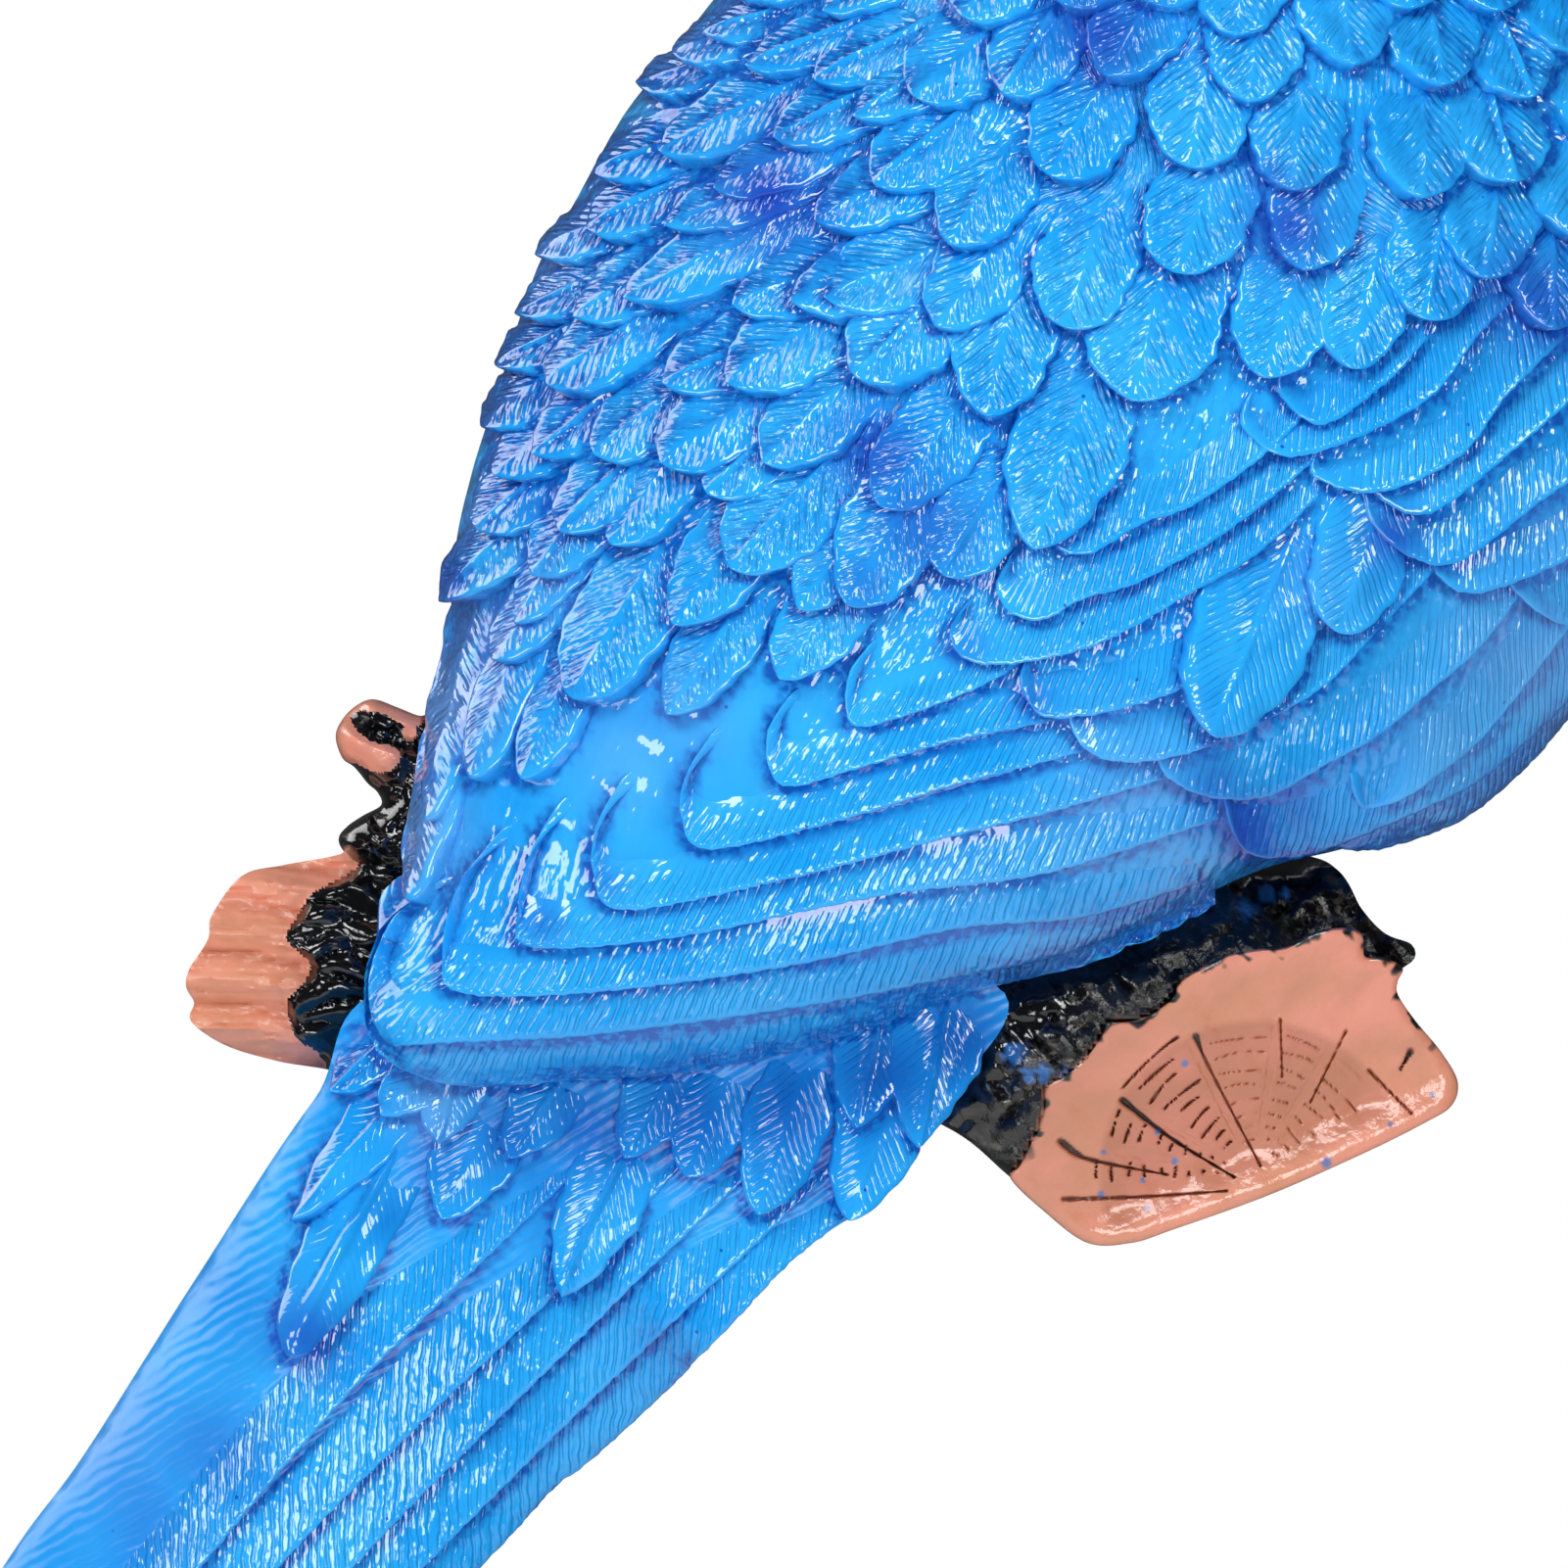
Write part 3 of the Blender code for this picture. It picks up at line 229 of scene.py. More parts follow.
def inside(poly, pts):
    """True where a point lies in the polygon."""
    hit = np.zeros(len(pts), dtype=bool)
    x, z = pts[:, 0], pts[:, 1]
    for a, b in zip(poly, np.roll(poly, -1, axis=0)):
        if a[1] != b[1]:
            cross = (a[1] > z) != (b[1] > z)
            hit ^= cross & (x < (b[0] - a[0]) * (z - a[1]) / (b[1] - a[1]) + a[0])
    return hit


def distance(path, pts, closed=True):
    """Shortest distance from each point to the path, and the place along it from 0 to 1."""
    best = np.full(len(pts), 1e9)
    place = np.zeros(len(pts))
    run = 0.0
    for a, b in zip(path, np.roll(path, -1, axis=0) if closed else path[1:]):
        ab = b - a
        size = math.hypot(ab[0], ab[1])
        if size < 1e-9:
            continue
        t = unit(((pts[:, 0] - a[0]) * ab[0] + (pts[:, 1] - a[1]) * ab[1]) / size ** 2)
        gap = np.hypot(pts[:, 0] - a[0] - t * ab[0], pts[:, 1] - a[1] - t * ab[1])
        near = gap < best
        best[near] = gap[near]
        place[near] = run + t[near] * size
        run += size
    return best, place / run


def unit(values):
    """Values held between 0 and 1."""
    return np.clip(values, 0.0, 1.0)


def blend(samples, pts):
    """Inverse distance blend of the values that stand behind the first two numbers."""
    table = plans(samples)
    values = np.array([s[2:] for s in samples], dtype=float)
    gap = np.linalg.norm(pts[:, None, :] - table[None, :, :], axis=2) + 2.0
    weight = gap ** -3.0
    return weight @ values / weight.sum(axis=1)[:, None]


def lay_at(pts):
    """Unit direction of the feather tips at each place."""
    way = blend(LAY, pts) * [1.0, -1.0]
    return way / np.linalg.norm(way, axis=1)[:, None]


def ripple(pts, scale):
    """Smooth repeatable unevenness between -1 and 1."""
    a = pts / scale
    return (np.sin(a[:, 0] * 2.1 + 1.3 * np.sin(a[:, 1] * 1.7)) * 0.5
            + np.sin(a[:, 1] * 2.7 + 1.1 * np.sin(a[:, 0] * 2.3 + 0.7)) * 0.5)


class Field:
    """A height over the front, held on a square grid, in millimetres."""

    def __init__(self, low, high, step):
        self.low = np.array(low, dtype=float)
        self.step = step
        self.shape = (int((high[0] - low[0]) / step) + 1, int((high[1] - low[1]) / step) + 1)
        gx, gz = np.meshgrid(np.arange(self.shape[0]), np.arange(self.shape[1]), indexing="ij")
        self.points = np.stack([gx.ravel(), gz.ravel()], axis=1) * step + self.low
        self.value = np.zeros(self.shape)

    def at(self, pts):
        q = np.clip((pts - self.low) / self.step, 0.0, np.array(self.shape) - 1.001)
        i = q.astype(int)
        f = q - i
        v = self.value
        a = v[i[:, 0], i[:, 1]] * (1 - f[:, 0]) + v[i[:, 0] + 1, i[:, 1]] * f[:, 0]
        b = v[i[:, 0], i[:, 1] + 1] * (1 - f[:, 0]) + v[i[:, 0] + 1, i[:, 1] + 1] * f[:, 0]
        return a * (1 - f[:, 1]) + b * f[:, 1]


# The swell is relaxed over its grid like a stretched sheet, then carried out to the rim.
SWEEPS = 360
OVERSHOOT = 1.9
RIM_SWEEPS = 6
RIM_BAND_MM = 2.2


def pillow(outline, low, high, step):
    """Height of a wall and a swell above it, over an outline."""
    field = Field(low, high, step)
    pts = field.points
    mask = inside(outline, pts).reshape(field.shape)
    phi = np.zeros(field.shape)
    gx, gz = np.meshgrid(np.arange(field.shape[0]), np.arange(field.shape[1]), indexing="ij")
    for _ in range(SWEEPS):
        for colour in (0, 1):
            pick = mask & ((gx + gz) % 2 == colour)
            mean = np.zeros(field.shape)
            mean[1:-1, 1:-1] = (phi[2:, 1:-1] + phi[:-2, 1:-1] + phi[1:-1, 2:] + phi[1:-1, :-2]) / 4.0
            phi[pick] += OVERSHOOT * (mean[pick] + step ** 2 / 2.0 - phi[pick])
    gap = distance(outline, pts)[0].reshape(field.shape)
    good = mask & (gap > RIM_BAND_MM)
    rate = np.where(good, phi / np.maximum(gap, 1e-6), 0.0)
    weight = good.astype(float)
    for _ in range(RIM_SWEEPS):
        total = rate * weight
        share = weight.copy()
        for axis in (0, 1):
            for move in (1, -1):
                total = total + np.roll(rate * weight, move, axis=axis)
                share = share + np.roll(weight, move, axis=axis)
        rate = np.where(good, rate, np.where(share > 0, total / np.maximum(share, 1e-9), 0.0))
        weight = np.maximum(weight, (share > 0).astype(float))
    swell = np.where(mask, np.sqrt(np.maximum(rate * gap, 0.0)), 0.0)
    wall = blend(WALL_HEIGHTS, pts)[:, 0].reshape(field.shape)
    field.value = wall + swell * CREST_DEPTH_MM / swell.max()
    return field


SLOPE_STEP_MM = 1.2
STEEPEST = 1.6


def normals(height, pts):
    """Outward unit normals of the surface y = -height."""
    e = SLOPE_STEP_MM
    hx = (height(pts + [e, 0]) - height(pts - [e, 0])) / (2 * e)
    hz = (height(pts + [0, e]) - height(pts - [0, e])) / (2 * e)
    cap = np.minimum(1.0, STEEPEST / np.maximum(np.sqrt(hx ** 2 + hz ** 2), 1e-9))
    vec = np.stack([-hx * cap, -np.ones(len(pts)), -hz * cap], axis=1)
    return vec / np.linalg.norm(vec, axis=1)[:, None]


# Grid of the whole front in millimetres: low corner, high corner, step.
FRONT_GRID = ((-112.0, -137.0), (110.0, 156.0), 0.4)


class CreviceShadeMap:
    """Highest surface so far on a fine grid, for painted shade beside the edges that overlap it."""

    def __init__(self):
        self.top = Field(*FRONT_GRID)
        self.means = None

    def add(self, pts, heights):
        self.means = None
        spot = np.round((pts - self.top.low) / self.top.step).astype(int)
        for dx in (-1, 0, 1):
            for dz in (-1, 0, 1):
                i = np.clip(spot[:, 0] + dx, 0, self.top.shape[0] - 1)
                k = np.clip(spot[:, 1] + dz, 0, self.top.shape[1] - 1)
                np.maximum.at(self.top.value, (i, k), heights)

    def mean(self, reach):
        """The top surface, averaged over the cells within reach of each."""
        field = Field(*FRONT_GRID)
        near = range(-reach, reach + 1)
        moves = [(dx, dz) for dx in near for dz in near]
        field.value = sum(np.roll(self.top.value, m, axis=(0, 1)) for m in moves) / len(moves)
        return field

    def shade(self, pts, heights):
        if self.means is None:
            self.means = self.mean(2), self.mean(1)
        broad, close = (field.at(pts) - heights for field in self.means)
        return np.maximum(np.clip((broad - 0.2) / 1.6, 0.0, 0.6), np.clip((close - 0.3) / 0.7, 0.0, 0.95))


crevice_shade_map = CreviceShadeMap()
SHARP_DEGREES = 55.0


class Shells:
    """Closed shells gathered into one mesh, in millimetres, with values for the paint."""

    def __init__(self):
        self.verts = []
        self.quads = []
        self.tris = []
        self.barbs = []
        self.count = 0

    def add(self, verts, quads, tris, barbs):
        """Takes one closed shell and turns its faces outwards."""
        quads = np.asarray(quads, dtype=int).reshape(-1, 4)
        tris = np.asarray(tris, dtype=int).reshape(-1, 3)
        every = np.concatenate([quads[:, [0, 1, 2]], quads[:, [0, 2, 3]], tris])
        a, b, c = (verts[every[:, k]] for k in range(3))
        if np.sum(a * np.cross(b, c)) < 0.0:
            quads, tris = quads[:, ::-1], tris[:, ::-1]
        if len(quads):
            self.quads.append(quads + self.count)
        if len(tris):
            self.tris.append(tris + self.count)
        self.verts.append(verts)
        self.barbs.append(barbs)
        self.count += len(verts)

    def grid(self, top, inward, rows, cols, barbs, plate=False):
        """Closed shell under a grid: walls go down from its rim, and a fan or a second sheet closes it."""
        crevice_shade_map.add(top[:, [0, 2]], -top[:, 1])
        n = rows * cols
        index = np.arange(n).reshape(rows, cols)
        corners = [index[:-1, :-1], index[:-1, 1:], index[1:, 1:], index[1:, :-1]]
        quads = np.stack(corners, axis=-1).reshape(-1, 4)
        ring = np.concatenate([index[0, :], index[1:, -1], index[-1, -2::-1], index[-2:0:-1, 0]])
        if plate:
            walls = np.stack([np.roll(ring, -1), ring, n + ring, n + np.roll(ring, -1)], axis=1)
            self.add(np.concatenate([top, top + inward]), np.concatenate([quads, n + quads[:, ::-1], walls]),
                     [], np.concatenate([barbs, barbs]))
            return
        low = top[ring] + inward[ring]
        lower = n + np.arange(len(ring))
        walls = np.stack([np.roll(ring, -1), ring, lower, np.roll(lower, -1)], axis=1)
        hub = n + len(ring)
        fan = np.stack([np.roll(lower, -1), lower, np.full(len(ring), hub)], axis=1)
        verts = np.concatenate([top, low, low.mean(axis=0)[None, :]])
        flat = np.concatenate([barbs, barbs[ring], barbs[ring][:1]])
        self.add(verts, np.concatenate([quads, walls]), fan, flat)

    def piece(self, name, materials, second=None):
        """One object that rides on the casting and stands for it; a test finds the second paint."""
        verts = np.concatenate(self.verts)
        mesh = bpy.data.meshes.new(name)
        quads = np.concatenate(self.quads) if self.quads else np.zeros((0, 4), dtype=int)
        tris = np.concatenate(self.tris) if self.tris else np.zeros((0, 3), dtype=int)
        mesh.vertices.add(len(verts))
        mesh.vertices.foreach_set("co", (verts * METRES).astype(np.float32).ravel())
        loops = np.concatenate([quads.ravel(), tris.ravel()]).astype(np.int32)
        mesh.loops.add(len(loops))
        mesh.loops.foreach_set("vertex_index", loops)
        starts = np.concatenate([np.arange(len(quads)) * 4, len(quads) * 4 + np.arange(len(tris)) * 3])
        mesh.polygons.add(len(starts))
        mesh.polygons.foreach_set("loop_start", starts.astype(np.int32))
        mesh.update(calc_edges=True)
        mesh.validate()
        for material in materials:
            mesh.materials.append(material)
        barb = mesh.attributes.new("barb", "FLOAT_VECTOR", "POINT")
        values = np.concatenate(self.barbs)
        # Painted shade beside the edges that overlap this surface, darkest right under them.
        values[:, 1] = np.maximum(values[:, 1], crevice_shade_map.shade(verts[:, [0, 2]], -verts[:, 1]))
        barb.data.foreach_set("vector", values.astype(np.float32).ravel())
        tint = mesh.attributes.new("tint", "FLOAT_VECTOR", "POINT")
        tint.data.foreach_set("vector", tints(verts[:, [0, 2]]).astype(np.float32).ravel())
        if second is not None:
            mids = np.zeros(len(mesh.polygons) * 3)
            mesh.polygons.foreach_get("center", mids)
            where = second(mids.reshape(-1, 3)[:, [0, 2]] / METRES)
            mesh.polygons.foreach_set("material_index", where.astype(np.int32))
        mesh.shade_smooth()
        mesh.set_sharp_from_angle(angle=math.radians(SHARP_DEGREES))
        made = bpy.data.objects.new(name, mesh)
        bpy.context.scene.collection.objects.link(made)
        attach(made, "root")
        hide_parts(NODE)


def relief(shells, outline, height, step, edge_step, barb=None):
    """Closed block from the wall plane up to a height, over an outline."""
    rim = smooth_path(outline, edge_step, closed=True)
    low, high = rim.min(axis=0), rim.max(axis=0)
    gx, gz = np.meshgrid(np.arange(low[0], high[0], step), np.arange(low[1], high[1], step), indexing="ij")
    pts = np.stack([gx.ravel(), gz.ravel()], axis=1)
    pts = pts[inside(rim, pts)]
    pts = pts[distance(rim, pts)[0] > 0.55 * step]
    every = [tuple(p) for p in rim] + [tuple(p) for p in pts]
    flat = delaunay_2d_cdt(every, [], [list(range(len(rim)))], 1, 1e-5)
    xz = np.array([tuple(p) for p in flat[0]])
    tris = np.array([list(f) for f in flat[2]])
    n = len(xz)
    top = np.stack([xz[:, 0], -np.maximum(height(xz), 0.4), xz[:, 1]], axis=1)
    back = np.stack([xz[:, 0], np.zeros(n), xz[:, 1]], axis=1)
    edges = np.concatenate([tris[:, [0, 1]], tris[:, [1, 2]], tris[:, [2, 0]]])
    codes = edges[:, 0] * (n + 1) + edges[:, 1]
    alone = ~np.isin(edges[:, 1] * (n + 1) + edges[:, 0], codes)
    a, b = edges[alone, 0], edges[alone, 1]
    walls = np.stack([b, a, n + a, n + b], axis=1)
    values = np.zeros((2 * n, 3)) if barb is None else np.concatenate([barb(xz), barb(xz)])
    shells.add(np.concatenate([top, back]), walls, np.concatenate([tris, n + tris[:, ::-1]]), values)


# Airbrushed darker violet-blue clouds on the plumage: column, row, radius, strength.
VIOLET_CLOUDS = [
    (785, 205, 62, 1.0), (740, 235, 35, 0.5), (1120, 40, 55, 0.9), (1150, 20, 40, 0.6),
    (1310, 235, 48, 0.9), (1290, 190, 30, 0.6), (1560, 310, 60, 0.8), (1600, 340, 40, 0.6),
    (895, 470, 48, 0.8), (940, 540, 60, 0.7), (880, 600, 35, 0.5), (1415, 550, 34, 0.8),
    (1275, 845, 42, 0.9), (1320, 830, 35, 0.6), (1240, 800, 30, 0.6), (555, 940, 26, 0.5),
    (620, 900, 22, 0.4), (455, 590, 22, 0.5), (310, 1370, 42, 0.7), (220, 1480, 60, 0.5),
    (150, 1570, 60, 0.4), (1050, 715, 26, 0.5), (985, 660, 26, 0.4), (545, 515, 26, 0.4),
    (590, 410, 24, 0.4),
]
# Painted sheen and highlight in a paler lavender blue: column, row, radius, strength.
SHEEN_CLOUDS = [
    (450, 720, 60, 0.8), (430, 850, 55, 0.8), (500, 640, 45, 0.5), (1560, 680, 90, 0.9),
    (1480, 770, 80, 0.7), (1150, 800, 80, 0.55), (1100, 860, 70, 0.4), (1200, 870, 60, 0.45),
    (640, 770, 60, 0.5), (700, 740, 60, 0.4), (440, 1130, 34, 0.9), (1000, 900, 60, 0.3),
    (560, 260, 40, 0.3), (100, 1480, 70, 0.35), (1600, 560, 60, 0.5), (690, 30, 50, 0.3),
    (560, 600, 40, 0.35), (470, 520, 30, 0.4), (1340, 600, 50, 0.3), (1080, 950, 60, 0.35),
]
# Painted shadow in deeper blue where the wing overhangs the tail and in the folds: column, row, radius,
# strength.
SHADOW_CLOUDS = [
    (520, 1160, 60, 0.9), (600, 1150, 70, 1.0), (700, 1140, 75, 1.0), (800, 1130, 75, 1.0),
    (900, 1100, 70, 1.0), (980, 1060, 60, 1.0), (450, 1180, 50, 0.7), (820, 1190, 50, 0.5),
    (560, 1210, 50, 0.6), (395, 1240, 40, 0.5), (230, 1340, 110, 0.35), (120, 1480, 110, 0.35),
    (20, 1600, 110, 0.35),
]


def tints(pts):
    """Violet paint, painted sheen and painted shadow shares at each place."""
    out = np.zeros((len(pts), 3))
    for column, (clouds, full) in enumerate(((VIOLET_CLOUDS, 1.0), (SHEEN_CLOUDS, 0.5), (SHADOW_CLOUDS, 0.9))):
        for (_, _, radius, strength), centre in zip(clouds, plans(clouds)):
            gap2 = ((pts - centre) ** 2).sum(axis=1) / (radius * SHEET_MM) ** 2
            out[:, column] = np.maximum(out[:, column], strength * full * np.exp(-gap2))
    return out


# Gloss acrylic enamel in macaw blue, brushed on and varnished: wet-looking, with sharp streaks
# of light along the carved barbs, which stand 0.7 mm apart and up to twice that on the strips.
BARB_PITCH_MM = 0.72
STRAND_MM = 3.5
CLOUD_MM = 14.0
LUMP_MM = 4.2
LUMP_HEIGHT_MM = 0.45
PINHOLE_PITCH_MM = 5.5
RAGGED_MM = 0.9
VARNISH_IOR = 1.62
BLUE = "#12A0F6"
BLUE_LIGHT = "#2CB0FC"
# Painted shade colour, for the grooves, pinholes, crevices and shadowed places.
BLUE_SHADE = "#055EC0"
VIOLET = "#1C48BE"
LAVENDER_SHEEN = "#7DB2EE"


def carved_paint(name):
    """A blank material, its tree, the place on the object, and the values given to its vertices."""
    material, tree = blank_paint(name)
    place = shader_node(tree, "TexCoord").outputs["Object"]
    barb = shader_node(tree, "Attribute", {"attribute_name": "barb"}).outputs["Vector"]
    return material, tree, place, shader_node(tree, "SeparateXYZ", {0: barb}).outputs


def blue_enamel(name, barb_height_mm, regular, broken, varnish=0.04, crest=1.0, coat=1.0):
    """Varnished blue paint over carved barbs, a regular wave mixed with broken strands."""
    material, tree, place, parts = carved_paint(name)
    tint = shader_node(tree, "Attribute", {"attribute_name": "tint"}).outputs["Vector"]
    share = shader_node(tree, "SeparateXYZ", {0: tint}).outputs
    clouds = shader_node(tree, "TexNoise", {"Scale": 1000.0 / CLOUD_MM, "Detail": 3.0, "Vector": place})
    lumps = shader_node(tree, "TexNoise", {"Scale": 1000.0 / LUMP_MM, "Detail": 1.5, "Vector": place})
    spread = shader_node(tree, "MapRange", {"From Min": 0.35, "From Max": 0.65, "Value": clouds})
    colour = shader_node(tree, "Mix", {"data_type": "RGBA", 0: spread, 6: linear(BLUE),
                                       7: linear(BLUE_LIGHT)})
    # Barbs: a regular wave along the feather, broken up by hand-cut strands of uneven width and length.
    shake = shader_node(tree, "Math", {"operation": "MULTIPLY_ADD", 0: lumps, 1: 0.9, 2: parts["X"]})
    turn = shader_node(tree, "Math", {"operation": "MULTIPLY", 0: shake, 1: 2 * math.pi / BARB_PITCH_MM})
    sine = shader_node(tree, "Math", {"operation": "SINE", 0: turn})
    wave = shader_node(tree, "MapRange", {"From Min": -1.0, "From Max": crest, "To Min": -1.1, "To Max": 0.8,
                                          "Value": sine})
    wide = shader_node(tree, "VectorMath", {"operation": "MULTIPLY", 0: place, 1: (1000 / STRAND_MM,) * 3})
    spot = shader_node(tree, "SeparateXYZ", {0: wide}).outputs
    across = shader_node(tree, "Math", {"operation": "MULTIPLY", 0: parts["X"], 1: 0.8 / BARB_PITCH_MM})
    squeezed = shader_node(tree, "CombineXYZ", {0: across, 1: spot["X"], 2: spot["Z"]})
    strand = shader_node(tree, "TexNoise", {"Scale": 1.0, "Detail": 2.0, "Vector": squeezed})
    uneven = shader_node(tree, "MapRange", {"From Min": 0.25, "From Max": 0.75, "To Min": -broken,
                                            "To Max": broken, "Value": strand})
    cut = shader_node(tree, "Math", {"operation": "MULTIPLY_ADD", 0: wave, 1: regular, 2: uneven})
    carved = shader_node(tree, "Math", {"operation": "MULTIPLY", 0: cut, 1: parts["Z"]})
    # Painted shade: darker blue between the barbs, in pinholes and under the overlapping feathers.
    painted_groove_shade = shader_node(tree, "MapRange", {"From Min": -1.4, "From Max": -0.5, "To Min": 0.2, "To Max": 0.0,
                                          "Value": carved})
    pits = shader_node(tree, "TexVoronoi", {"Scale": 1000.0 / PINHOLE_PITCH_MM, "Vector": place})
    pinhole = shader_node(tree, "MapRange", {"From Min": 0.045, "From Max": 0.03, "Value": pits})
    grain = shader_node(tree, "TexNoise", {"Scale": 1000.0 / RAGGED_MM, "Detail": 2.0, "Vector": place})
    ragged = shader_node(tree, "MapRange", {"From Min": 0.35, "From Max": 0.6, "To Min": 0.5, "To Max": 1.4,
                                            "Value": grain})
    painted_crevice_shade = shader_node(tree, "Math", {"operation": "MULTIPLY", 0: ragged, 1: parts["Y"]})
    deep = shader_node(tree, "Math", {"operation": "MAXIMUM", "use_clamp": True, 0: painted_groove_shade, 1: painted_crevice_shade})
    shaded = shader_node(tree, "Math", {"operation": "MAXIMUM", 0: deep, 1: share["Z"]})
    deepest = shader_node(tree, "Math", {"operation": "MAXIMUM", 0: shaded, 1: pinhole})
    for amount, code in ((deepest, BLUE_SHADE), (share["Y"], LAVENDER_SHEEN), (share["X"], VIOLET)):
        colour = shader_node(tree, "Mix", {"data_type": "RGBA", 0: amount, 6: colour, 7: linear(code)})
    rough = shader_node(tree, "MapRange", {"To Min": 0.22, "To Max": 0.4, "Value": lumps})
    carve = shader_node(tree, "Bump", {"Strength": 1.0, "Distance": barb_height_mm * METRES,
                                       "Height": carved})
    skin = shader_node(tree, "Bump", {"Strength": 0.8, "Distance": LUMP_HEIGHT_MM * METRES, "Height": lumps,
                                      "Normal": carve})
    finish_paint(tree, {"Base Color": colour, "Roughness": rough, "Normal": skin, "Coat Normal": skin,
                        "IOR": 1.5, "Specular IOR Level": 0.1, "Coat Weight": coat,
                        "Coat Roughness": varnish, "Coat IOR": VARNISH_IOR})
    return material


feather_blue = blue_enamel("varnished_macaw_blue_enamel", 0.17, 0.45, 1.5)
stroke_blue = blue_enamel("varnished_blue_enamel_over_long_strokes", 0.15, 0.6, 0.6, crest=0.1)
bird_outline = smooth_path(plans(BIRD_OUTLINE), 1.2, closed=True)
bird_field = pillow(bird_outline, (-55.0, -35.0), (110.0, 156.0), 1.25)


def bird_height(pts):
    """The pillow with the slight unevenness of a hand-modelled surface."""
    return bird_field.at(pts) + 0.12 * ripple(pts, 1.6)


def body_barbs(pts):
    """Fine strokes along the lay, for what shows between the feathers."""
    way = lay_at(pts)
    cross = pts[:, 0] * way[:, 1] - pts[:, 1] * way[:, 0]
    wing = np.exp(-(((pts - plans([(720, 800)])[0]) / [26.0, 14.0]) ** 2).sum(axis=1))
    return np.stack([cross * 0.5, np.zeros(len(pts)), 0.8 - 0.7 * unit(1.6 * wing)], axis=1)


crevice_shade_map.top.value = np.where(inside(bird_outline, crevice_shade_map.top.points), bird_field.at(crevice_shade_map.top.points),
                              0.0).reshape(crevice_shade_map.top.shape)
body = Shells()
relief(body, plans(BIRD_OUTLINE), bird_height, 1.1, 1.1, body_barbs)


# Mantle and scapular feathers
# Overlapping leaf feathers carved over the back, rooted in the body, with their tips standing proud.
# Each has a raised shaft, barbs at a slant from it and a rounded rim.
LIFT_TIP_MM = 2.3
LIFT_ROOT_MM = -1.6
RIM_RADIUS_MM = 0.5
FEATHER_SINK_MM = 2.5
SHAFT_MM = 0.34
SHAFT_HALF_MM = 0.26
GROOVE_MM = 0.2
GROOVE_ASIDE_MM = 0.62
DENT_MM = 0.2
# Waves of the chipped edge, as shares of the half width.
CHIP_SHARE = 0.045
FINE_CHIP_SHARE = 0.03
# Barbs leave the shaft at about 38 degrees towards the tip.
BARB_RUN = 0.62
BARB_SPREAD = 0.79
# Tip column, tip row, length, half width, lift.
SCALE_FEATHERS = [
    (1030, 110, 150, 50, 1.0), (1130, 92, 150, 50, 1.0), (1075, 192, 160, 52, 1.1),
    (1210, 182, 165, 55, 1.1), (1268, 117, 150, 52, 1.0), (1255, 50, 140, 50, 0.9),
    (1370, 80, 150, 55, 1.0), (1460, 98, 150, 52, 1.0), (1550, 108, 150, 52, 1.0),
    (1310, 205, 150, 50, 1.2), (1435, 212, 150, 56, 1.2), (1530, 195, 150, 52, 1.1),
    (1195, 285, 170, 55, 1.2), (1085, 342, 170, 52, 1.2), (1320, 282, 150, 50, 1.2),
    (1280, 388, 175, 55, 1.3), (1365, 378, 185, 46, 1.2), (1150, 414, 190, 75, 1.3),
    (1048, 560, 250, 62, 1.5), (1005, 434, 180, 55, 1.3), (975, 262, 160, 50, 1.1),
    (880, 397, 170, 55, 1.2), (755, 402, 180, 52, 1.2), (850, 315, 170, 50, 1.1),
    (900, 200, 160, 50, 1.0), (960, 345, 160, 50, 1.0), (940, 110, 150, 48, 0.9),
    (1180, 20, 140, 50, 0.9), (1090, 20, 140, 50, 0.9), (1340, 0, 140, 50, 0.9), (1430, 20, 140, 50, 0.9),
    (1520, 20, 140, 50, 0.9), (1610, 60, 150, 52, 1.0), (1640, 160, 150, 52, 1.0),
    (1600, 250, 150, 52, 1.0), (1500, 290, 160, 52, 1.0), (1440, 330, 160, 50, 1.0),
    (1688, 112, 150, 50, 1.0), (1720, 210, 150, 52, 1.0), (1680, 290, 150, 52, 1.0),
    (1570, 340, 150, 50, 1.0), (1735, 305, 150, 50, 1.0), (990, 30, 150, 48, 0.9),
]
LEAF_ROWS = 34
LEAF_COLUMNS = np.array([0.0, 0.05, 0.1, 0.16, 0.25, 0.37, 0.5, 0.63, 0.75, 0.85, 0.92, 0.97, 1.0])


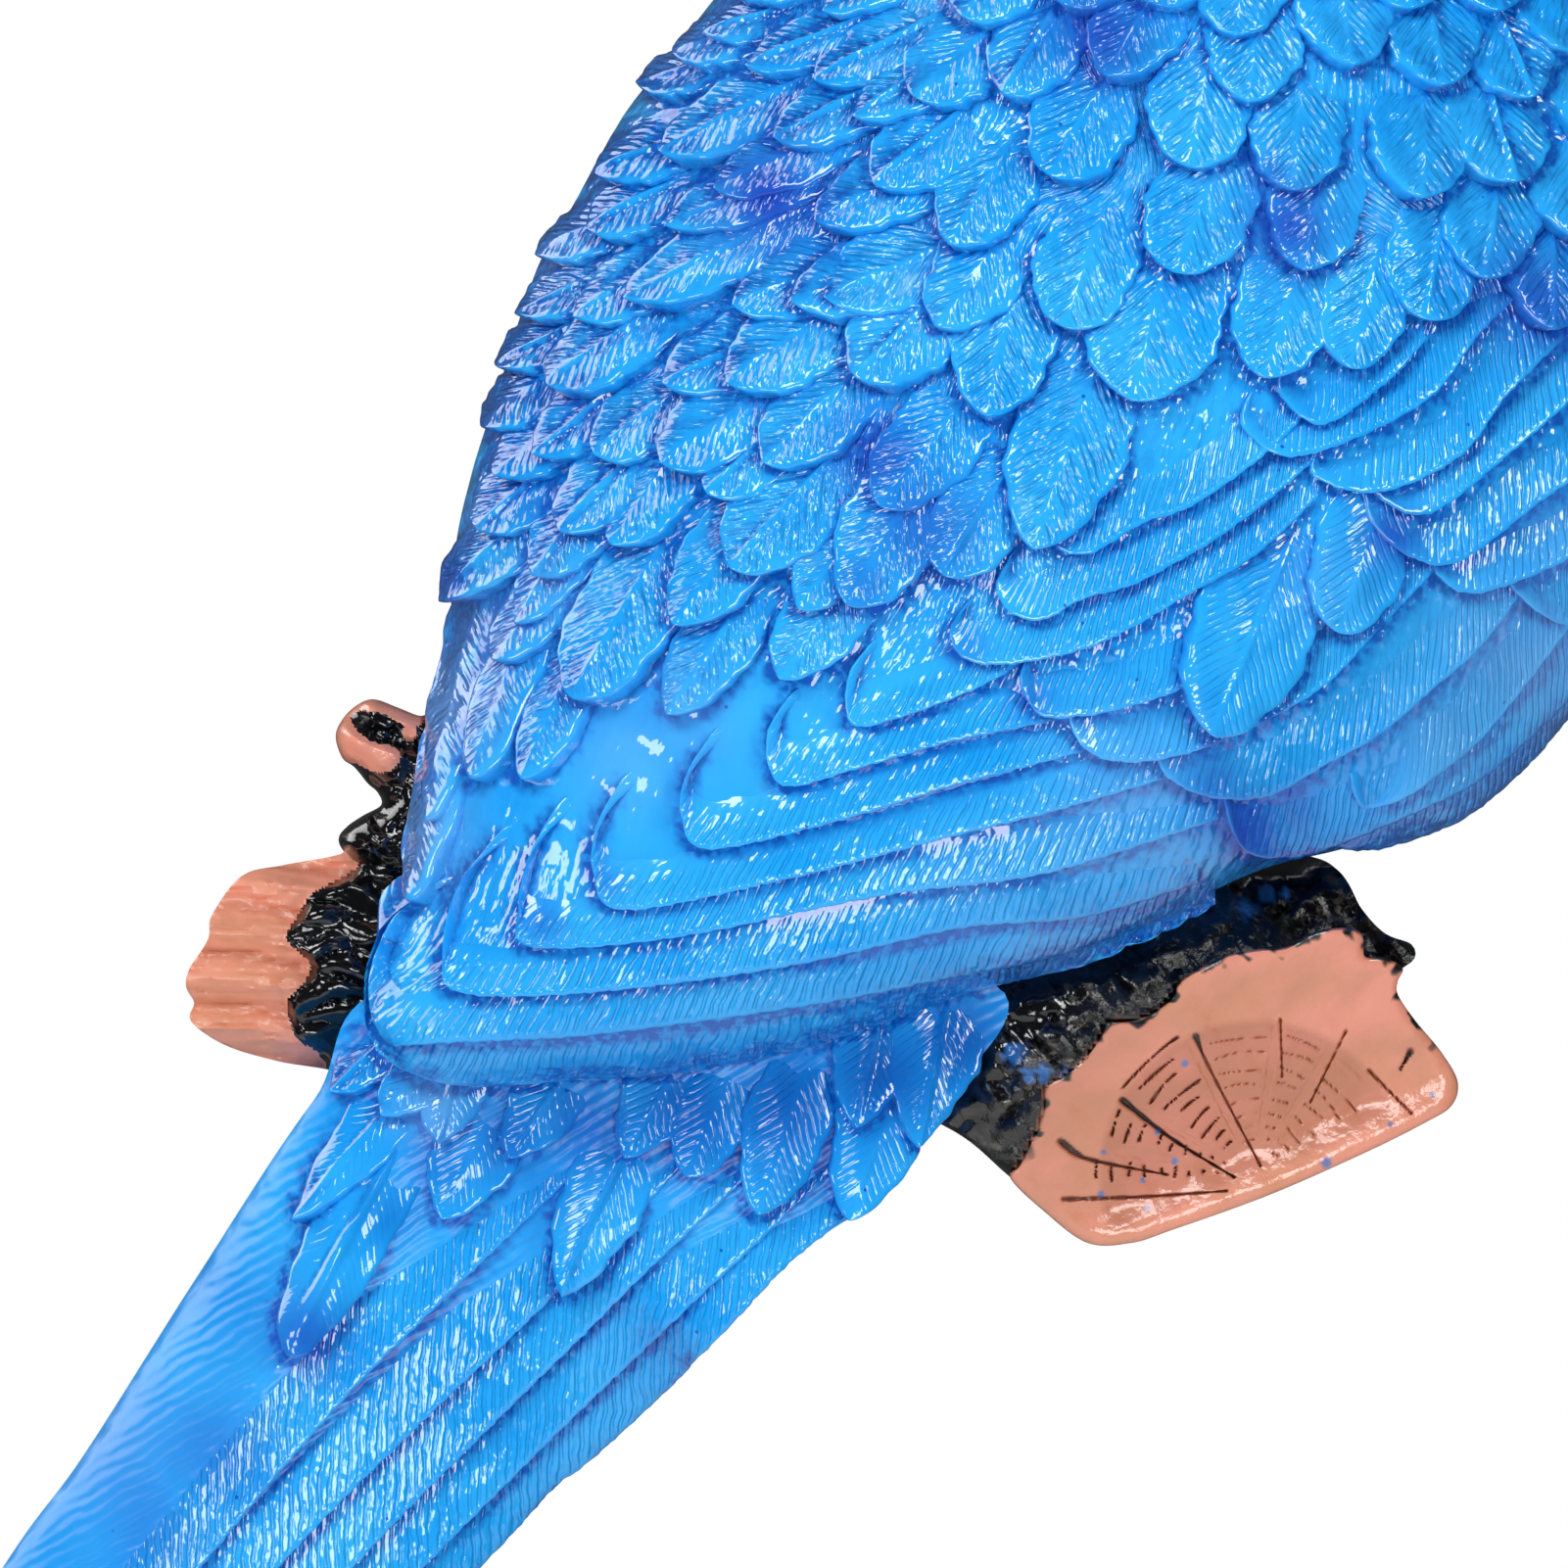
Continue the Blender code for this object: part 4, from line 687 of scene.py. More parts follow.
def leaf(shells, height, tip, way, length, half, lift, point, seed, barbs):
    """One overlapping feather with a grooved shaft, a rounded rim and a slightly chipped edge."""
    dice = np.random.default_rng(seed)
    side = np.array([-way[1], way[0]])
    u = np.sin(np.linspace(0.0, math.pi / 2, LEAF_ROWS))
    v = np.concatenate([-LEAF_COLUMNS[:0:-1], LEAF_COLUMNS])
    cols = len(v)
    point = unit(point + dice.uniform(-0.25, 0.25))
    start = 0.55 - 0.2 * point
    taper = (1.0 - unit((u - start) / (1.0 - start)) ** (2.6 - 0.9 * point)) ** (0.46 + 0.26 * point)
    width = half * (0.74 + 0.26 * np.sin(np.minimum(u / 0.6, 1.0) * math.pi / 2)) * np.maximum(taper, 0.03)
    chips = CHIP_SHARE * np.sin(u * dice.uniform(14, 22) + dice.uniform(0, 6))
    chips = chips + FINE_CHIP_SHARE * np.sin(u * 47 + dice.uniform(0, 6))
    width = width[:, None] * (1.0 + chips[:, None] * np.sign(v) * (np.abs(v) > 0.5))
    lean = dice.uniform(-0.06, 0.06) * length
    along = (u - 1.0)[:, None] * length * np.ones((1, cols))
    across = v[None, :] * width
    bow = lean * ((u[:, None]) ** 2 - 1.0)
    pts = (tip + along[..., None] * way + (across + bow)[..., None] * side).reshape(-1, 2)
    uu = np.repeat(u[:, None], cols, axis=1)
    tip_gap = -along * 0.9
    edge = np.minimum((1.0 - np.abs(v))[None, :] * width, tip_gap + 0.25 * width)
    rim = RIM_RADIUS_MM * (1.0 - np.sqrt(1.0 - unit(1.0 - edge / RIM_RADIUS_MM) ** 2))
    shaft_fade = unit((1.0 - uu) * 5.0)
    groove = GROOVE_MM * np.exp(-((np.abs(across) - GROOVE_ASIDE_MM) / 0.25) ** 2)
    shaft = (SHAFT_MM * np.exp(-(across / SHAFT_HALF_MM) ** 2) - groove) * shaft_fade
    shaft *= dice.choice([0.12, 0.4, 1.0])
    crown = 0.3 * (1.0 - v[None, :] ** 2) - 0.15
    dent = DENT_MM * np.sin(across * 1.3 + dice.uniform(0, 6)) * np.sin(along * 0.7 + dice.uniform(0, 6))
    rise = LIFT_ROOT_MM + (LIFT_TIP_MM * lift - LIFT_ROOT_MM) * uu ** 0.8 + crown + shaft + dent - rim
    rise = rise - 0.55 * side[1] * v[None, :] * (0.3 + 0.7 * uu)
    base = np.stack([pts[:, 0], -height(pts), pts[:, 1]], axis=1)
    out = normals(height, pts)
    barb = (along * BARB_RUN - np.abs(across) * BARB_SPREAD).ravel() + dice.uniform(0, 5)
    # Painted shade towards the root, where the feathers above cover it.
    shade = unit(0.45 - uu * 0.9).ravel()
    strength = (unit(np.abs(across) / 0.8) * unit((edge - 0.5) / 0.9)).ravel()
    values = np.stack([barb, shade, strength * barbs * dice.uniform(0.6, 1.15)], axis=1)
    top = base + out * rise.reshape(-1, 1)
    shells.grid(top, -out * (rise.reshape(-1, 1) + FEATHER_SINK_MM), LEAF_ROWS, cols, values)


def leaves(shells, height, feathers, point, seed, barbs=1.0):
    """Every feather of a list, turned to the lay or to its own way."""
    tips = plans(feathers)
    for k, (f, tip, way) in enumerate(zip(feathers, tips, lay_at(tips))):
        own = np.array([f[5], -f[6]]) / math.hypot(f[5], f[6]) if len(f) > 5 else way
        leaf(shells, height, tip, own, f[2] * SHEET_MM, f[3] * SHEET_MM, f[4], point, seed + k,
             f[7] if len(f) > 7 else barbs)


# The plain feathers by rule: rows and columns they start from, spacing, and the gap kept to the others.
NECK_COL = 1255
NECK_TOP_ROW = -40
CROWN_ROW = -560
NECK_PITCH_MM = 9.2
CROWN_PITCH_MM = 6.6
SHOULDER_ROWS = (60, 140, 220, 300)
SHOULDER_COLS = (1680, 1765, 1850)
FILL_GAP_MM = 6.2
FILL_MARGIN_MM = 6.0
# Length, half width and row step of a plain feather, in spacings.
PLAIN_LENGTH = 1.47
PLAIN_HALF = 0.55
PLAIN_ROW = 0.85


def fill_feathers(taken):
    """Plain feathers by rule on the neck and shoulder, where none is listed."""
    extra = []
    row = NECK_TOP_ROW
    odd = 0
    while row > CROWN_ROW:
        share = row / CROWN_ROW
        pitch = (NECK_PITCH_MM + (CROWN_PITCH_MM - NECK_PITCH_MM) * share) / SHEET_MM
        for k in range(-7, 8):
            extra.append((NECK_COL + (k + odd / 2) * pitch, row, PLAIN_LENGTH * pitch, PLAIN_HALF * pitch,
                          0.95 - 0.4 * share))
        row -= pitch * PLAIN_ROW
        odd = 1 - odd
    for number, row in enumerate(SHOULDER_ROWS):
        extra += [(col + (number % 2) * 32 + 24, row, 150, 50, 1.0) for col in SHOULDER_COLS]
    have = plans(taken)
    spots = plans(extra)
    lone = np.array([np.min(np.linalg.norm(have - p, axis=1)) > FILL_GAP_MM for p in spots])
    clear = lone & inside(bird_outline, spots) & (distance(bird_outline, spots)[0] > FILL_MARGIN_MM)
    return [e for e, ok in zip(extra, clear) if ok]


LONG_FEATHERS = [
    (772, 75, 210, 34, 0.9), (687, 163, 230, 40, 1.0), (692, 237, 230, 38, 1.0), (612, 237, 130, 36, 0.9),
    (652, 312, 290, 42, 1.1), (540, 322, 130, 34, 0.9), (574, 400, 180, 42, 1.1),
    (818, 318, 190, 44, 1.1), (522, 490, 130, 38, 1.0), (503, 542, 130, 40, 1.0),
    (588, 545, 170, 44, 1.2), (690, 480, 190, 46, 1.2), (758, 582, 210, 54, 1.3),
    (602, 720, 240, 52, 1.4), (702, 640, 190, 46, 1.2), (868, 615, 230, 56, 1.4),
    (466, 612, 170, 40, 1.1), (690, 730, 200, 42, 1.0), (800, 690, 190, 46, 1.1), (660, 90, 110, 30, 0.8),
    (880, 130, 210, 40, 0.9), (840, 235, 200, 42, 1.0), (760, 320, 190, 42, 1.0),
    (690, 400, 190, 42, 1.0), (620, 470, 150, 40, 1.0), (900, 520, 190, 48, 1.1),
    (960, 585, 200, 48, 1.1), (790, 480, 180, 46, 1.1), (540, 640, 180, 36, 0.9), (760, 0, 190, 34, 0.8),
    (850, 20, 190, 38, 0.8), (930, -30, 190, 40, 0.8), (495, 800, 330, 32, 1.0), (455, 840, 330, 30, 1.0),
    (545, 800, 260, 34, 1.0), (432, 925, 380, 28, 0.9), (730, 40, 130, 32, 0.9), (700, 60, 130, 32, 0.9),
    (560, 262, 110, 32, 0.9), (620, 180, 130, 34, 0.9), (600, 330, 150, 38, 1.0),
    (520, 375, 120, 36, 0.9), (505, 440, 120, 36, 0.9), (560, 470, 140, 38, 1.0),
    (640, 560, 170, 42, 1.1), (560, 590, 150, 40, 1.0), (520, 680, 200, 36, 1.0),
    (800, 150, 200, 38, 0.9), (740, 200, 200, 38, 0.9), (735, 510, 160, 42, 1.1),
    (820, 620, 190, 44, 1.1), (840, 90, 190, 38, 0.9),
]

mantle = Shells()
leaves(mantle, bird_field.at, SCALE_FEATHERS, 0.35, 100)
flank = Shells()
leaves(flank, bird_field.at, LONG_FEATHERS, 0.28, 300)
neck = Shells()
leaves(neck, bird_field.at, fill_feathers(SCALE_FEATHERS + LONG_FEATHERS), 0.3, 500)
mantle.piece("mantle_feathers", [feather_blue])
flank.piece("flank_feathers", [feather_blue])
neck.piece("neck_feathers", [feather_blue])


# Wing feathers
# Nested strips: each outer edge stands proud of the next one below and its inner side dips under
# the next one above. Paths run from the top of the rounded tip round to the root.
PLATE_RIM_MM = 1.9
PLATE_INNER_MM = -1.8
FAN_TURN_MM = 12.0
WING_ROWS = [
    [(440, 905), (400, 955), (382, 1010), (388, 1062), (430, 1088), (480, 1097), (560, 1093), (700, 1083),
     (800, 1063), (900, 1033), (1000, 998), (1150, 967), (1240, 925)],
    [(455, 895), (410, 950), (390, 1010), (404, 1055), (450, 1056), (600, 1046), (800, 1018), (980, 984),
     (1100, 960), (1240, 918)],
    [(515, 845), (480, 905), (461, 980), (476, 1010), (600, 1006), (800, 977), (980, 936), (1100, 928),
     (1220, 900)],
    [(575, 815), (550, 870), (538, 930), (551, 964), (700, 949), (900, 906), (1050, 885), (1240, 835)],
    [(640, 790), (616, 840), (612, 890), (641, 925), (800, 893), (920, 861), (1000, 840), (1200, 790)],
    [(730, 745), (705, 790), (700, 832), (726, 864), (850, 836), (980, 796), (1110, 765)],
    [(810, 705), (785, 750), (801, 800), (880, 781), (980, 752), (1080, 735)],
    [(890, 655), (866, 690), (871, 738), (920, 730), (990, 703), (1040, 680)],
]
GREAT_ROWS = [
    [(1340, 820), (1345, 852), (1400, 856), (1450, 843), (1500, 820), (1558, 770), (1600, 722),
     (1680, 643), (1765, 558)],
    [(1240, 770), (1246, 830), (1270, 862), (1330, 862), (1400, 836), (1450, 814), (1500, 790),
     (1550, 750), (1600, 700), (1680, 610), (1740, 530)],
    [(1375, 790), (1385, 818), (1420, 808), (1450, 790), (1500, 750), (1550, 690), (1600, 625),
     (1660, 560)],
    [(1185, 720), (1176, 772), (1200, 797), (1240, 808), (1290, 803), (1345, 773), (1400, 743),
     (1450, 700), (1510, 648), (1560, 590)],
    [(1100, 690), (1088, 735), (1110, 765), (1150, 773), (1200, 765), (1250, 747), (1300, 722),
     (1350, 690), (1400, 636), (1450, 588), (1490, 550)],
    [(1060, 650), (1038, 690), (1058, 727), (1100, 728), (1140, 720), (1200, 700), (1270, 660)],
    [(990, 610), (968, 645), (985, 672), (1030, 676), (1100, 662), (1150, 640), (1205, 608), (1260, 577),
     (1300, 547), (1340, 510)],
    [(1030, 565), (1014, 600), (1030, 626), (1062, 632), (1100, 612), (1150, 598), (1200, 572),
     (1240, 548), (1300, 503), (1340, 470)],
    [(1090, 505), (1064, 540), (1078, 563), (1110, 566), (1160, 537), (1200, 524), (1240, 500),
     (1290, 462), (1330, 425)],
]
# Broad coverts with a shaft, over the strips.
COVERT_LEAVES = [
    (1222, 736, 260, 62, 1.75, -0.42, 0.9), (1352, 640, 200, 48, 1.2, -0.35, 0.93),
]
MEDIAN_ROWS = [
    [(1520, 560), (1542, 604), (1600, 632), (1680, 600), (1780, 520), (1830, 440)],
    [(1450, 540), (1458, 584), (1500, 601), (1600, 562), (1700, 500), (1790, 420)],
    [(1385, 500), (1392, 535), (1428, 566), (1480, 570), (1570, 505), (1660, 450), (1760, 380)],
    [(1400, 470), (1396, 505), (1450, 523), (1540, 455), (1620, 390), (1730, 330)],
    [(1340, 455), (1334, 488), (1398, 503), (1480, 466), (1530, 402), (1600, 340)],
    [(1270, 405), (1263, 440), (1318, 468), (1440, 415), (1495, 350), (1540, 310)],
    [(1310, 370), (1298, 402), (1340, 436), (1400, 398), (1450, 350)],
]
FAN_STEPS = np.array([0.0, 0.012, 0.03, 0.055, 0.09, 0.14, 0.2, 0.28, 0.37, 0.47, 0.58, 0.7, 0.85, 1.0])


def fan(shells, height, path, start, end, rim, inner, depth, slant, pitch, stroke, seed):
    """One nested feather along its outer path, with barbs at a slant to its edge."""
    dice = np.random.default_rng(seed)
    outer = smooth_path(plans(path), 0.55)
    run = np.concatenate([[0.0], np.cumsum(np.linalg.norm(np.diff(outer, axis=0), axis=1))])
    turn = unit(run / FAN_TURN_MM)[:, None]
    turn = turn * turn * (3.0 - 2.0 * turn)
    offset = (1 - turn) * np.array(start) + turn * np.array(end)
    reach = np.linalg.norm(offset, axis=1)
    wobble = (0.05 * np.sin(run * 2.3 + dice.uniform(0, 6)) + 0.05 * np.sin(run * 5.1)) / reach
    share = FAN_STEPS[None, :] + wobble[:, None] * (1.0 - FAN_STEPS)[None, :]
    pts = (outer[:, None, :] + share[..., None] * offset[:, None, :]).reshape(-1, 2)
    aside = FAN_STEPS[None, :] * reach[:, None]
    rise = rim + (inner - rim) * FAN_STEPS[None, :] * np.ones((len(run), 1))
    rise -= RIM_RADIUS_MM * (1.0 - np.sqrt(1.0 - unit(1.0 - aside / RIM_RADIUS_MM) ** 2))
    rise -= 1.2 * unit((run / run[-1] - 0.8) / 0.2)[:, None]
    rise -= 1.6 * (1.0 - unit(run / 7.0) ** 0.7)[:, None]
    base = np.stack([pts[:, 0], -height(pts), pts[:, 1]], axis=1)
    out = normals(height, pts)
    barb = ((run[:, None] - slant * aside) / pitch).ravel() + dice.uniform(0, 5)
    shade = np.zeros(len(pts))
    strength = unit((aside - 0.4) / 0.4) * unit((stroke - aside) / 1.2 + 0.2)
    strength = (strength * np.clip((run - 6.0) / 8.0, 0.15, 1.0)[:, None]).ravel()
    values = np.stack([barb, shade, strength], axis=1)
    top = base + out * rise.reshape(-1, 1)
    shells.grid(top, -out * (rise.reshape(-1, 1) + depth), len(run), len(FAN_STEPS), values, plate=True)


wing_feathers = Shells()
coverts = Shells()
# Where they go, rows, offsets at the tip and the root, slant, pitch and stroke of the barbs, first seed.
for shells, rows, start, end, slant, pitch, stroke, seed in (
        (wing_feathers, WING_ROWS, (7.0, 3.0), (0.5, 9.0), 0.6, 1.6, 3.4, 700),
        (coverts, GREAT_ROWS, (6.0, 4.0), (-2.0, 8.5), 0.7, 1.3, 5.0, 720),
        (coverts, MEDIAN_ROWS, (5.0, 4.0), (-3.0, 7.0), 0.7, 1.3, 5.0, 740)):
    for number, row in enumerate(rows):
        fan(shells, bird_field.at, row, start, end, PLATE_RIM_MM, PLATE_INNER_MM, FEATHER_SINK_MM, slant,
            pitch, stroke, seed + number)
leaves(coverts, bird_field.at, COVERT_LEAVES, 0.1, 760)
wing_feathers.piece("flight_feathers", [stroke_blue])
coverts.piece("wing_coverts", [stroke_blue])
body.piece("bird_body", [feather_blue])


# Tail
# Long tail with a ridge: soft pale strokes on its left side, nested glossy feathers on its right
# and short coverts over its root. The part below the photographed stretch tapers plainly to a tip.
TAIL_ROOT_MM = 27.0
TAIL_TIP_MM = 9.0
TAIL_ROOT_EDGE_MM = 21.5
TAIL_EDGE_MM = 5.0
TAIL_LEFT = [
    (430, 1000), (316, 1127), (194, 1310), (77, 1494), (0, 1600), (-150, 1840), (-262, 2060),
]
TAIL_TIP = [(-286, 2118), (-272, 2140)]
TAIL_RIGHT = [
    (-200, 2100), (40, 1960), (225, 1850), (300, 1785), (488, 1598), (560, 1520), (592, 1497),
    (720, 1378), (800, 1296), (851, 1256), (903, 1222), (950, 1142), (1000, 1000),
]
TAIL_RIDGE = [
    (640, 950), (429, 1152), (291, 1382), (168, 1565), (-50, 1870), (-270, 2125),
]
TAIL_ROWS = [
    [(215, 1795), (225, 1850), (300, 1785), (488, 1598), (560, 1520), (600, 1490), (720, 1380),
     (800, 1296), (851, 1254), (905, 1200)],
    [(60, 1890), (75, 1955), (200, 1840), (420, 1610), (590, 1440), (720, 1320), (850, 1200)],
    [(-60, 1960), (-40, 2030), (90, 1905), (340, 1620), (500, 1455), (660, 1300), (780, 1190)],
    [(-170, 2010), (-150, 2090), (0, 1935), (255, 1630), (420, 1460), (590, 1300), (700, 1190)],
    [(-238, 2035), (-225, 2085), (-140, 2010), (170, 1640), (340, 1440), (470, 1310), (600, 1190)],
]
TAIL_COVERTS = [
    (444, 1165, 130, 42, 0.9, -0.3, 0.95, 0.3), (306, 1251, 230, 36, 0.8, -0.62, 0.78, 0.2),
    (449, 1241, 150, 48, 1.0, -0.45, 0.89, 0.3), (574, 1313, 190, 46, 1.3), (638, 1180, 130, 42, 1.0),
    (772, 1237, 200, 46, 1.4), (862, 1240, 220, 50, 1.2), (930, 1168, 190, 52, 1.2),
    (700, 1200, 150, 44, 1.0), (292, 1384, 300, 44, 1.0, -0.52, 0.85, 0.1), (395, 1142, 110, 34, 0.9),
    (345, 1120, 90, 30, 0.8), (870, 1150, 140, 44, 1.3), (520, 1180, 130, 40, 0.9),
]

tail_outline = plans(TAIL_LEFT + TAIL_TIP + TAIL_RIGHT)
tail_ridge = smooth_path(plans(TAIL_RIDGE), 2.0)
tail_field = Field((-112.0, -136.0), (25.0, -15.0), 0.8)
tail_rim = smooth_path(tail_outline, 2.0)
tail_gap = distance(tail_rim, tail_field.points, False)[0]
tail_edge = np.where(inside(tail_rim, tail_field.points), tail_gap, 0.0)
tail_top, tail_place = distance(tail_ridge, tail_field.points, False)
tail_crest = TAIL_ROOT_MM - (TAIL_ROOT_MM - TAIL_TIP_MM) * tail_place ** 0.9
tail_fall = unit((tail_place - 0.08) / 0.32)
tail_side = TAIL_ROOT_EDGE_MM + (TAIL_EDGE_MM - TAIL_ROOT_EDGE_MM) * tail_fall ** 2 * (3.0 - 2.0 * tail_fall)
tail_share = tail_edge / np.maximum(tail_edge + tail_top, 1e-6)
tail_field.value = (tail_side + np.maximum(tail_crest - tail_side, 1.0) * tail_share ** 0.62).reshape(
    tail_field.shape)


def tail_barbs(pts):
    """Long shallow strokes on the left side of the ridge."""
    cross = (0.87 * pts[:, 1] - 0.5 * pts[:, 0]) / 1.7
    edge = distance(tail_rim, pts, False)[0]
    return np.stack([cross, np.full(len(pts), 0.05), 0.35 * np.clip(edge / 3.0, 0.2, 1.0)], axis=1)


tail_cover = np.where(inside(tail_rim, crevice_shade_map.top.points), tail_field.at(crevice_shade_map.top.points), 0.0)
crevice_shade_map.top.value = np.maximum(crevice_shade_map.top.value, tail_cover.reshape(crevice_shade_map.top.shape))
tail_core = Shells()
relief(tail_core, tail_outline, tail_field.at, 1.1, 1.2, tail_barbs)
tail = Shells()
for number, row in enumerate(TAIL_ROWS):
    fan(tail, tail_field.at, row, (1.0, 6.0), (-6.6, 5.4), 1.4, -0.6, 2.0, 1.3, 2.0, 7.0, 800 + number)
leaves(tail, tail_field.at, TAIL_COVERTS, 0.8, 820, barbs=0.55)
# The varnish is thin and satin on the tail's left side, so that it shows a soft sheen, no streaks.
tail_core.piece("tail_core", [blue_enamel("satin_blue_enamel", 0.15, 0.7, 0.5, varnish=0.3, coat=0.35)])
tail.piece("tail_feathers", [stroke_blue])


# Branch
# Short bent limb cast flush with the wall: black painted bark, a log end sawn on a slant,
# a broken stub on the left and a twig stub above it, both ends painted salmon.
LOG_RADIUS_MM = 21.5
LOG_UPPER_MM = 21.5
LOG_LOWER_MM = 16.8
LOG_UPPER_SIDE = (0.67, 0.74)
LOG_CUT_SLOPE = 0.95
LOG_OUTLINE = [
    (640, 900), (900, 860), (1180, 850), (1330, 872), (1374, 890), (1398, 930), (1422, 955), (1449, 966),
    (1452, 981), (1434, 997), (1433, 1018), (1452, 1045), (1480, 1078), (1494, 1108), (1488, 1130),
    (1462, 1147), (1400, 1178), (1300, 1222), (1200, 1258), (1160, 1271), (1116, 1272), (1070, 1238),
    (1030, 1203), (975, 1158), (880, 1120), (700, 1080),
]
LOG_AXIS = [
    (560, 990), (800, 985), (1060, 1030), (1285, 1203),
]
LOG_CHORD = [(1116, 1272), (1494, 1116)]
LOG_HEART = [(1285, 1203)]
# Outline of the sawn face, from the left end of its chord over the top to the right end.
FACE_OUTLINE = [
    (1114, 1275), (1068, 1241), (1034, 1207), (1043, 1192), (1058, 1160), (1066, 1135), (1068, 1112),
    (1090, 1098), (1112, 1078), (1126, 1056), (1130, 1044), (1150, 1044), (1176, 1036), (1198, 1020),
    (1206, 1004), (1226, 990), (1256, 976), (1290, 970), (1316, 968), (1340, 955), (1362, 949),
    (1388, 950), (1396, 962), (1398, 978), (1420, 980), (1437, 990), (1432, 1004), (1433, 1018),
    (1452, 1045), (1480, 1078), (1497, 1108), (1491, 1133), (1463, 1151), (1401, 1182), (1301, 1226),
    (1201, 1262), (1160, 1275),
]
# Radial cracks, from the rim inwards, and how black the paint in each is.
FACE_CRACKS = [
    ([(1089, 1229), (1170, 1227), (1258, 1221)], 0.55), ([(1085, 1168), (1110, 1186), (1196, 1204)], 0.8),
    ([(1149, 1126), (1200, 1166), (1266, 1207)], 1.0), ([(1224, 1062), (1240, 1096), (1293, 1195)], 0.35),
    ([(1311, 1042), (1314, 1102)], 0.1), ([(1380, 1054), (1344, 1129)], 0.1),
    ([(1404, 1096), (1449, 1141)], 0.35), ([(1447, 1077), (1437, 1095)], 1.0),
    ([(1224, 1060), (1232, 1080)], 1.0), ([(1088, 1170), (1106, 1182)], 1.0),
]
# Sectors between the cracks: start and end angle, shift of the rings, outermost ring, blackness.
FACE_SECTORS = [
    (175, 188, 3, 165, 0.8), (192, 208, -4, 172, 0.85), (211, 243, 5, 158, 0.6), (249, 277, 0, 150, 0.1),
    (281, 300, 4, 146, 0.1), (304, 331, -3, 140, 0.2),
]
FACE_RINGS = (34, 48, 62, 77, 93, 109, 126, 143, 158)
FACE_FIELD = 163
FIELD_DEPTH_MM = 0.35
FIELD_BROWN = 0.34
RING_STEP_MM = 0.5
RING_CUT_MM = 0.15
FAINT_CUT_MM = 0.11
FACE_SLAB_MM = 5.0
# Way from the heart towards the bark along the face's upper rim.
BARK_SIDE = np.array([-0.25, 0.97])
# Blue specks of stray paint: column, row, radius.
FACE_SPECKS = [
    (1213, 1088, 4), (1361, 1192, 6), (1185, 1160, 3), (1204, 1190, 4), (1171, 1210, 3), (1128, 1224, 4),
    (1471, 1122, 3), (1176, 1239, 3), (1427, 1152, 3), (1130, 1180, 3),
]

log_axis = smooth_path(plans(LOG_AXIS), 3.0)
log_chord = plans(LOG_CHORD)
log_heart = plans(LOG_HEART)[0]
face_zone = smooth_path(plans(FACE_OUTLINE), 1.0, closed=True)
chord_way = (log_chord[1] - log_chord[0]) / np.linalg.norm(log_chord[1] - log_chord[0])
chord_up = np.array([-chord_way[1], chord_way[0]])


def cut_height(pts):
    """The sawn plane, which levels out at the foot of the log."""
    plane = 0.5 + LOG_CUT_SLOPE * ((pts - log_chord[0]) @ chord_up)
    return 0.5 * (plane + 3.0 + np.sqrt((plane - 3.0) ** 2 + 2.0))


def bark_height(pts):
    """Half-round limb with lumps, ridges and pits."""
    gap, place = distance(log_axis, pts, closed=False)
    upper = (pts - log_heart) @ np.array(LOG_UPPER_SIDE) > 0
    reach = unit(gap / np.where(upper, LOG_UPPER_MM, LOG_LOWER_MM))
    swell = 3.0 + (LOG_RADIUS_MM - 3.0) * np.sqrt(1.0 - reach ** 2.2)
    ridges = np.abs(ripple(pts, 2.6)) ** 0.7 - 0.45
    grit = ripple(pts + 3.0, 1.3) * 0.4 + ripple(pts, 0.8) * 0.22
    beside = np.minimum(distance(bird_outline, pts)[0], distance(tail_rim, pts, False)[0])
    under = inside(bird_outline, pts) | inside(tail_outline, pts)
    return swell + 1.2 * ridges + grit - 5.0 * np.where(under, 1.0, unit(1.0 - beside / 4.0))


def log_height(pts):
    """Bark all over, kept below the sawn face where that lies on it."""
    height = bark_height(pts)
    return np.where(inside(face_zone, pts), np.minimum(height, cut_height(pts) - 1.6), height)


# Black gloss enamel, brushed over the bark: near black, with hard wet glints on every lump.
# Salmon acrylic, brushed over the bare wood and varnished: soft mottling with a broad shine.
# Below are the real sizes of the bark's grit and patches, and of the wood's mottling and grain.
GRIT_MM = 1.3
PATCH_MM = 7.0
CRUMB_HEIGHT_MM = 0.7
MOTTLE_MM = 9.0
WOOD_GRAIN_MM = 1.6
GRAIN_HEIGHT_MM = 0.25
BARK_BLACK = "#08090D"
BARE_SPECKLE = "#8F897B"
BLOT_BLUE = "#2C6CB4"
SALMON_DARK = "#DC9272"
SALMON_PALE = "#F09A82"
BROWN_AND_SHADE = "#9A4A2C"
CRACK_BLACK = "#101218"
SPECK_BLUE = "#3F79B8"


